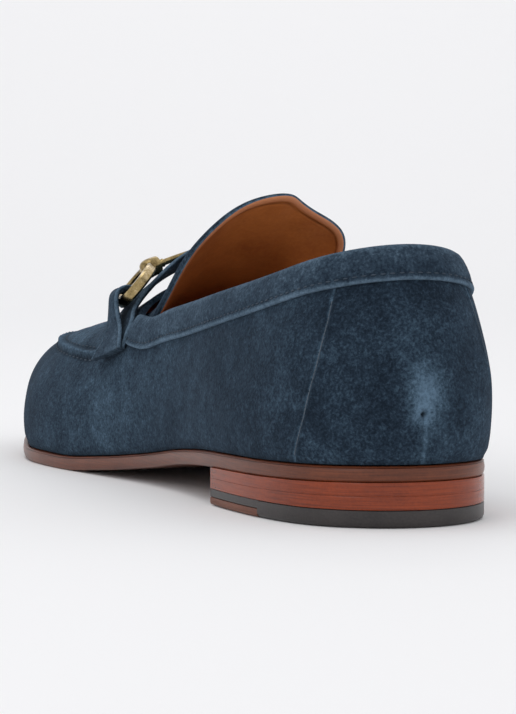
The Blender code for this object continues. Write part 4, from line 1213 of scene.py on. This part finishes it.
BREAST_LATERAL = 0.0716
BREAST_MEDIAL = 0.0664
RUBBER_THICKNESS = 0.0050
INLAY_LENGTH = 0.0336
INLAY_THICKNESS = 0.0026

LIFT_COLUMNS = 110
TIP_COLUMNS = 90
INLAY_COLUMNS = 20
LIFT_JOINT = 0.00002
TIP_JOINT = 0.00006
INLAY_JOINT = 0.00005
TIP_OVERLAP = 0.001

# Sections of the lifts' and the tip's edges, as for the sole
LIFT_EDGE = named_columns("inset height", [
    (0.0050, 1.000),
    (0.00004, 1.000),
    (0.0000, 0.990),
    (0.0000, 0.850),
    (0.0000, 0.500),
    (0.0000, 0.150),
    (0.0000, 0.010),
    (0.00004, 0.000),
    (0.0050, 0.000),
])
TIP_EDGE = named_columns("inset height", [
    (0.0050, 1.000),
    (0.0005, 1.000),
    (0.0001, 0.960),
    (0.0000, 0.850),
    (0.0000, 0.360),
    (0.0001, 0.220),
    (0.0004, 0.100),
    (0.0010, 0.025),
    (0.0020, 0.000),
    (0.0050, 0.000),
])
breast = {LATERAL: BREAST_LATERAL / SOLE_LENGTH, MEDIAL: BREAST_MEDIAL / SOLE_LENGTH}


def lift_level(number):
    def level(along, share):
        tall = (rise(along) - RUBBER_THICKNESS) / 2
        foot = RUBBER_THICKNESS + tall * number
        return foot + (tall - LIFT_JOINT) * share
    return level


def tip_level(along, share):
    return np.full_like(along, (RUBBER_THICKNESS - TIP_JOINT) * share)


def inlay_level(along, share):
    return np.full_like(along, (INLAY_THICKNESS - 2 * INLAY_JOINT) * share + INLAY_JOINT)


heel_leather = edge_leather("stacked heel leather", (0.120, 0.017, 0.004), (0.330, 0.052, 0.009),
                            0.24, 0.10)
for number in (0, 1):
    lift = plate(f"heel_lift_{number + 1}_leather", LIFT_EDGE, lift_level(number), 0.0, breast,
                 LIFT_COLUMNS, heel_leather)
    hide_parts(f"heel_lift_{number + 1}")
    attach(lift, "root")

rubber, tree, shader = new_material("dark rubber", 0.42, specular=0.45, coat=0.10)
place = object_place(tree)
speck = noise(tree, place, 1500, 2.0, 0.6)
smear = noise(tree, place, 60, 3.0, 0.6)
tone = blend_sum(tree, [(speck, 0.4), (smear, 0.6)])
greys = ramp(tree, tone, [(0.35, (0.016, 0.013, 0.013)), (0.70, (0.042, 0.035, 0.033))])
tree.links.new(greys, shader.inputs["Base Color"])
roughen(tree, shader, speck, 0.15, 0.0002)
seat = BREAST_LATERAL - INLAY_LENGTH
behind_inlay = {LATERAL: seat / SOLE_LENGTH, MEDIAL: seat / SOLE_LENGTH}


def over_inlay(along, share):
    low = INLAY_THICKNESS + 2 * INLAY_JOINT
    return low + (RUBBER_THICKNESS - 2 * TIP_JOINT - low) * share + 0 * along


tip = plate("heel_tip_rubber", TIP_EDGE, tip_level, 0.0, behind_inlay, TIP_COLUMNS, rubber)
tip_front = plate("heel_tip_rubber_front", LIFT_EDGE, over_inlay, (seat - TIP_OVERLAP) / SOLE_LENGTH,
                  breast, INLAY_COLUMNS, rubber)
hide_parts("heel_top_piece")
for part in (tip, tip_front):
    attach(part, "root")
inlay_leather = edge_leather("inlay leather", (0.085, 0.024, 0.010), (0.190, 0.060, 0.028), 0.45, 0.0)
inlay = plate("heel_inlay_leather", TIP_EDGE, inlay_level, seat / SOLE_LENGTH, breast, INLAY_COLUMNS,
              inlay_leather)
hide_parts("heel_inlay")
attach(inlay, "root")


# Saddle strap and tabs
# A double suede strap lies over the instep from side to side, sewn to the walls under a tab on
# each side. Each tab comes up from the wall, folds over the ring of the bit and is stitched.

SADDLE_CENTRE = -0.0020
STRAP_THICKNESS = 0.0016
STRAP_WIDTH = 0.0160
STRAP_FOOT_WIDTH = 0.0200
STRAP_FOOT_CLIMB = 0.33
STRAP_LEAVES_CLIMB = 0.42
RING_CLIMB = 0.58
FOOT_BACK = 0.013
FOOT_UPRIGHT_CLIMB = 0.52
TAB_WIDTH = 0.0134
TAB_NECK_WIDTH = 0.0140
TAB_FOOT_CLIMB = 0.32
TAB_LEAVES_CLIMB = 0.38
TAB_FOLD = (45, 80, 115, 150, 180)
RING_LENGTH = 0.0240
RING_WIDTH = 0.0175
RING_STOCK = 0.0034
RING_ACROSS = 0.0245
RING_LIFT = 0.0012
RING_TILT = math.radians(50)
SADDLE_STEP = 0.030
STRIP_COLUMNS = 25
FOOT_ROWS = 4
STRAP_ROWS = 140
TAB_ROWS = 90
STRAP_STITCH_INSET = 0.0022
TAB_STITCH_INSET = 0.0016

BRIDGE = named_columns("across height climb", [
    (0.312, 0.792, 0.47),
    (0.230, 0.936, 0.58),
    (0.152, 1.030, 0.70),
    (0.067, 1.090, 0.84),
    (0.000, 1.108, 1.00),
])


def bridge_height(across):
    share = across / BALL_WIDTH
    return float(natural_cubic(BRIDGE["across"][::-1], BRIDGE["height"][::-1], share)) * INSTEP_HEIGHT


def saddle_direction(side, climb):
    """Direction along the shoe in which the last runs under the saddle."""
    ahead = last_point(side, turn_at(SADDLE_STATION + SADDLE_STEP), climb)
    behind = last_point(side, turn_at(SADDLE_STATION - SADDLE_STEP), climb)
    return unit(ahead - behind)


def wall_rows(side, climbs, widths, offset, spread):
    """Rows across the wall under the saddle, from low to high."""
    rows = []
    for climb, width in zip(climbs, widths):
        back = FOOT_BACK * (FOOT_UPRIGHT_CLIMB - climb) / (FOOT_UPRIGHT_CLIMB - climbs[0])
        stations = SADDLE_STATION - back + spread * width / SOLE_LENGTH
        rows.append(skin_point(side, turn_at(stations), climb, offset))
    return rows


def smooth_rows(rows, count):
    """Even rows on the smooth surface through the given rows of points."""
    middle = rows[:, rows.shape[1] // 2]
    chord = np.concatenate([[0], np.cumsum(np.linalg.norm(np.diff(middle, axis=0), axis=1))])
    even = np.linspace(0, chord[-1], count)
    flat = rows.reshape(len(rows), -1).T
    smooth = np.stack([natural_cubic(chord, values, even) for values in flat], -1)
    return smooth.reshape(count, *rows.shape[1:])


def ring_frame(side):
    """Centre of a ring and its directions: up the instep, along the shoe and out of its plane."""
    up = np.array([-side * math.cos(RING_TILT), 0, math.sin(RING_TILT)])
    along = saddle_direction(side, RING_CLIMB)
    along = unit(along - up * (along @ up))
    out = np.cross(up, along) * -side
    seat = np.array([SADDLE_CENTRE + side * RING_ACROSS, SADDLE_STATION * SOLE_LENGTH,
                     bridge_height(RING_ACROSS)])
    return seat + out * (RING_LIFT + RING_STOCK / 2), up, along, out


def ring_limb(side, angle):
    """Centre line of a ring; angle 0 is its upper limb and pi its lower one."""
    centre, up, along, _ = ring_frame(side)
    half_wide = (RING_WIDTH - RING_STOCK) / 2
    half_long = (RING_LENGTH - RING_STOCK) / 2
    return centre + up * half_wide * math.cos(angle) + along * half_long * math.sin(angle)


def suede_strip(name, face, normal, stitch_inset):
    """Folded suede strip with a slight rise near each rounded side and a sewn line along each side."""
    rows, columns = face.shape[:2]
    share = np.linspace(0, 1, columns)
    width = np.linalg.norm(face[:, -1] - face[:, 0], axis=-1)[:, None]
    from_side = np.minimum(share, 1 - share)[None, :] * width
    round_off = EDGE_ROUNDING * (1 - smoothstep(from_side / 0.0011)) ** 1.5
    groove = 0.00032 * bell(from_side - stitch_inset, 0.00045)
    raised = 0.00022 * bell(from_side - 0.0009, 0.0006)
    top = face + normal * (raised - round_off - groove)[..., None]
    under = face - normal * (STRAP_THICKNESS - round_off)[..., None]
    front, back, edge = sheet_faces(rows, columns)
    under_shade = np.full(rows * columns, 0.5)
    shade = np.concatenate([(0.55 * bell(from_side - stitch_inset, 0.0004)).ravel(), under_shade])
    wear_and_highlight = np.concatenate([(0.55 * bell(from_side - 0.0006, 0.0006)).ravel(), 0 * under_shade])
    piece = make_piece(name, stacked(top, under), front + back + edge, [band_suede],
                       attributes={"wear_and_highlight": wear_and_highlight, "shade": shade})
    lines = []
    inset_share = stitch_inset / width[:, 0]
    for across in (inset_share, 1 - inset_share):
        place = across * (columns - 1)
        low = np.floor(place).astype(int)
        part = (place - low)[:, None]
        row = np.arange(rows)
        lines.append((top[row, low] * (1 - part) + top[row, low + 1] * part, normal[row, low]))
    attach(piece, "root")
    thread = sew(name + "_thread", lines, navy_thread, pitch=0.0022, length=0.0014, width=0.00042,
                 height=0.00036)
    return piece


spread = np.linspace(-0.5, 0.5, STRIP_COLUMNS)
foot_climbs = np.linspace(STRAP_FOOT_CLIMB, STRAP_LEAVES_CLIMB, FOOT_ROWS)
foot_widths = [STRAP_WIDTH] * FOOT_ROWS
layer = CLEARANCE + STRAP_THICKNESS
lateral = wall_rows(LATERAL, foot_climbs, foot_widths, layer, spread)
medial = wall_rows(MEDIAL, foot_climbs, foot_widths, layer, spread)
free = {}
for side in SIDES:
    free[side] = []
    for across, height, climb in zip(BRIDGE["across"], BRIDGE["height"], BRIDGE["climb"]):
        centre = np.array([SADDLE_CENTRE + side * across * BALL_WIDTH, SADDLE_STATION * SOLE_LENGTH,
                           height * INSTEP_HEIGHT])
        free[side].append(centre + spread[:, None] * STRAP_WIDTH * saddle_direction(side, climb))
strap_rows = np.array(lateral + free[LATERAL] + free[MEDIAL][-2::-1] + medial[::-1])
strap_face = smooth_rows(strap_rows, STRAP_ROWS)
strap_normal = grid_normals(strap_face, (0, 0, 1))
strap = suede_strip("saddle_strap_suede", strap_face, strap_normal, STRAP_STITCH_INSET)
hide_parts("saddle_strap")

for side, label in zip(SIDES, ("lateral", "medial")):
    _, up, along, out = ring_frame(side)
    climbs = np.linspace(TAB_FOOT_CLIMB, TAB_LEAVES_CLIMB, FOOT_ROWS)
    widths = np.linspace(STRAP_FOOT_WIDTH, TAB_NECK_WIDTH, FOOT_ROWS)
    rows = []
    for climb, width in zip(climbs, widths):
        rows.append(wall_rows(side, [climbs[0], climb], [width, width], 2 * layer, spread)[-1])
    half_long = (RING_LENGTH - RING_STOCK) / 2
    angles = [math.pi - math.asin(share * TAB_WIDTH / half_long) for share in spread]
    limb = np.array([ring_limb(side, angle) for angle in angles])
    radius = RING_STOCK / 2 + 3 * CLEARANCE + STRAP_THICKNESS
    for fold in np.radians(TAB_FOLD):
        rows.append(limb + radius * (out * math.sin(fold) - up * math.cos(fold)))
    tab_face = smooth_rows(np.array(rows), TAB_ROWS)
    normal = unit(np.cross(np.gradient(tab_face, axis=0), np.gradient(tab_face, axis=1)))
    if normal[FOOT_ROWS, STRIP_COLUMNS // 2, 0] * side < 0:
        normal = -normal
    tab = suede_strip(f"saddle_tab_{label}_suede", tab_face, normal, TAB_STITCH_INSET)
    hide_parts(f"saddle_tab_{label}")


# Bit
# A horse bit cast in brass and left to dull: an oval ring on each side, held by the tabs, and a
# bar across the instep that ends in a thicker knuckle on each ring.

BAR_DIAMETER = 0.0020
BAR_BOW = 0.0030
KNUCKLE_DIAMETER = 0.0062
KNUCKLE_LENGTH = 0.0075
KNUCKLE_CAP = 0.62
RING_STEPS = 96
BAR_STEPS = 161
BAR_SEGMENTS = 24

# Faceted section of a ring: places inwards and out of its plane as shares of half its stock
RING_FACETS = np.array([
    (0.88, 0.62),
    (0.52, 1.00),
    (-0.52, 1.00),
    (-0.88, 0.62),
    (-0.88, -0.62),
    (-0.52, -1.00),
    (0.52, -1.00),
    (0.88, -0.62),
])


def tube_rings(path, radii, segments):
    """Rings of points round an open path, kept from twisting by one fixed direction."""
    path = np.asarray(path)
    ahead = unit(np.gradient(path, axis=0))
    first = unit(np.cross(ahead, (0, 0.35, 1)))
    second = np.cross(ahead, first)
    sweep = np.linspace(0, 2 * math.pi, segments, endpoint=False)[None, :, None]
    radii = np.broadcast_to(radii, len(path))[:, None, None]
    return path[:, None] + radii * (first[:, None] * np.cos(sweep) + second[:, None] * np.sin(sweep))


brass, tree, shader = new_material("antique brass", 0.24, metallic=1.0)
place = object_place(tree)
cloud = noise(tree, place, 160, 4.0, 0.6, 0.4)
scratch = noise(tree, place, 1800, 2.0, 0.6)
tone = blend_sum(tree, [(cloud, 0.75), (scratch, 0.25)])
metals = ramp(tree, tone, [(0.34, (0.130, 0.090, 0.035)), (0.52, (0.400, 0.300, 0.140)),
                           (0.70, (0.760, 0.620, 0.400))])
tree.links.new(metals, shader.inputs["Base Color"])
tree.links.new(blend_sum(tree, [(cloud, 0.22), (scratch, 0.22)]), shader.inputs["Roughness"])
roughen(tree, shader, tone, 0.12, 0.0003)

bit_points = []
bit_faces = []


def add_tube(rings, closed):
    start = sum(len(points) for points in bit_points)
    bit_points.append(rings.reshape(-1, 3))
    for face in loft_faces(rings.shape[0], rings.shape[1], closed):
        bit_faces.append([start + corner for corner in face])


for side in SIDES:
    angles = np.linspace(0, 2 * math.pi, RING_STEPS, endpoint=False)
    limb = np.array([ring_limb(side, angle) for angle in angles])
    ahead = unit(np.roll(limb, -1, axis=0) - np.roll(limb, 1, axis=0))
    out = ring_frame(side)[3]
    inward = np.cross(ahead, out)
    section = RING_STOCK / 2 * RING_FACETS
    add_tube(limb[:, None] + inward[:, None] * section[None, :, :1] + out * section[None, :, 1:], True)
ends = [ring_limb(side, 0) for side in SIDES]
half_span = (ends[1][0] - ends[0][0]) / 2
reach = 1 + KNUCKLE_CAP * KNUCKLE_LENGTH / 2 / half_span
bow = BAR_BOW * saddle_direction(LATERAL, 1)
rest = BAR_DIAMETER / 2 + CLEARANCE
path = []
radii = []
for share in np.linspace(-reach, reach, BAR_STEPS):
    end = ends[0] if share < 0 else ends[1]
    inside = min(abs(share), 1)
    lift = rest + (end[2] - bridge_height(half_span) - rest) * inside ** 3
    point = ends[0] + (ends[1] - ends[0]) * (share + 1) / 2
    point[2] = bridge_height(inside * half_span) + lift
    if abs(share) > 1:
        point[2] -= (abs(share) - 1) * half_span * 0.75
    path.append(point + bow * (1 - inside ** 2))
    from_ring = abs(1 - abs(share)) * half_span / (KNUCKLE_LENGTH / 2)
    near = min(from_ring, 1)
    barrel = KNUCKLE_DIAMETER / 2 * (1 - 0.10 * near ** 2 - 0.55 * max(near - 0.85, 0) / 0.15)
    if abs(share) > 1:
        barrel *= math.sqrt(max(1 - (from_ring / KNUCKLE_CAP) ** 3, 0.05))
    collar = BAR_DIAMETER / 2 * (1 + 0.35 * math.exp(-((from_ring - 1.30) / 0.10) ** 2))
    waist = collar * (1 + 0.10 * math.cos(math.pi * inside) ** 2)
    radii.append(barrel if from_ring <= 1 else waist)
add_tube(tube_rings(path, np.array(radii), BAR_SEGMENTS), False)
bit = make_piece("bit_brass", np.concatenate(bit_points), bit_faces, [brass], sharp=35)
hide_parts("bit")
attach(bit, "root")


# Floor, light and camera
# Plain pale paper that runs back under the shoe and curves up far behind it, and soft studio
# light, seen from the photograph's angle to the shoe.

CAMERA_PLACE = (-0.282, -0.724, 0.090)
SHOE_CENTRE = (-0.001, 0.115, 0.046)
AIM = (0.0066, 0.1125, 0.038)
LENS = 140
FLOOR_REACH = 5.0
BACKDROP_START = 1.6
BACKDROP_RADIUS = 1.8
BACKDROP_TOP = 2.5

bends = np.linspace(0, math.pi / 2, 49)
curve = [(-FLOOR_REACH, 0.0)]
curve += [(BACKDROP_START + BACKDROP_RADIUS * math.sin(bend), BACKDROP_RADIUS * (1 - math.cos(bend)))
          for bend in bends]
curve.append((BACKDROP_START + BACKDROP_RADIUS, BACKDROP_TOP))
look = unit(np.array(AIM[:2]) - np.array(CAMERA_PLACE[:2]))
beside = np.array([look[1], -look[0]])
floor_points = []
for along, height in curve:
    for across in (-FLOOR_REACH, FLOOR_REACH):
        place = look * along + beside * across
        floor_points.append((place[0], place[1], height))
floor_faces = [(row, row + 1, row + 3, row + 2) for row in range(0, 2 * len(curve) - 2, 2)]
floor_mesh = bpy.data.meshes.new("floor")
floor_mesh.from_pydata(floor_points, [], floor_faces)
floor_mesh.shade_smooth()
floor = add_object("floor", floor_mesh)
paper, tree, shader = new_material("pale paper", 0.8, specular=0.1)
shader.inputs["Base Color"].default_value = (0.885, 0.885, 0.888, 1)
floor_mesh.materials.append(paper)

world = bpy.data.worlds.new("studio")
world.use_nodes = True
world.node_tree.nodes["Background"].inputs["Color"].default_value = (0.98, 0.98, 1.0, 1)
world.node_tree.nodes["Background"].inputs["Strength"].default_value = 0.89
bpy.context.scene.world = world


def point_at(holder, place, aim):
    """Put a lamp or a camera at a place and turn it towards another."""
    towards = np.array(aim, float) - np.array(place, float)
    level = math.hypot(towards[0], towards[1])
    holder.location = place
    holder.rotation_euler = (math.atan2(level, -towards[2]), 0, math.atan2(-towards[0], towards[1]))


def soft_light(name, place, aim, width, power):
    lamp = bpy.data.lights.new(name, "AREA")
    lamp.shape = "RECTANGLE"
    lamp.size = width
    lamp.size_y = width * 0.7
    lamp.energy = power
    point_at(add_object(name, lamp), place, aim)


soft_light("overhead", (-0.3, 0.1, 1.4), SHOE_CENTRE, 1.0, 3.0)
soft_light("left", (-1.1, -0.7, 0.8), SHOE_CENTRE, 0.7, 1.1)
far = look * 2.4
soft_light("backdrop", (far[0], far[1], 2.0), (far[0] * 1.05, far[1] * 1.05, 0.2), 1.2, 4.6)

lens = bpy.data.cameras.new("camera")
lens.lens = LENS
lens.clip_start = 0.01
camera = add_object("camera", lens)
point_at(camera, CAMERA_PLACE, AIM)
bpy.context.scene.camera = camera
bpy.context.scene.view_settings.view_transform = "Standard"
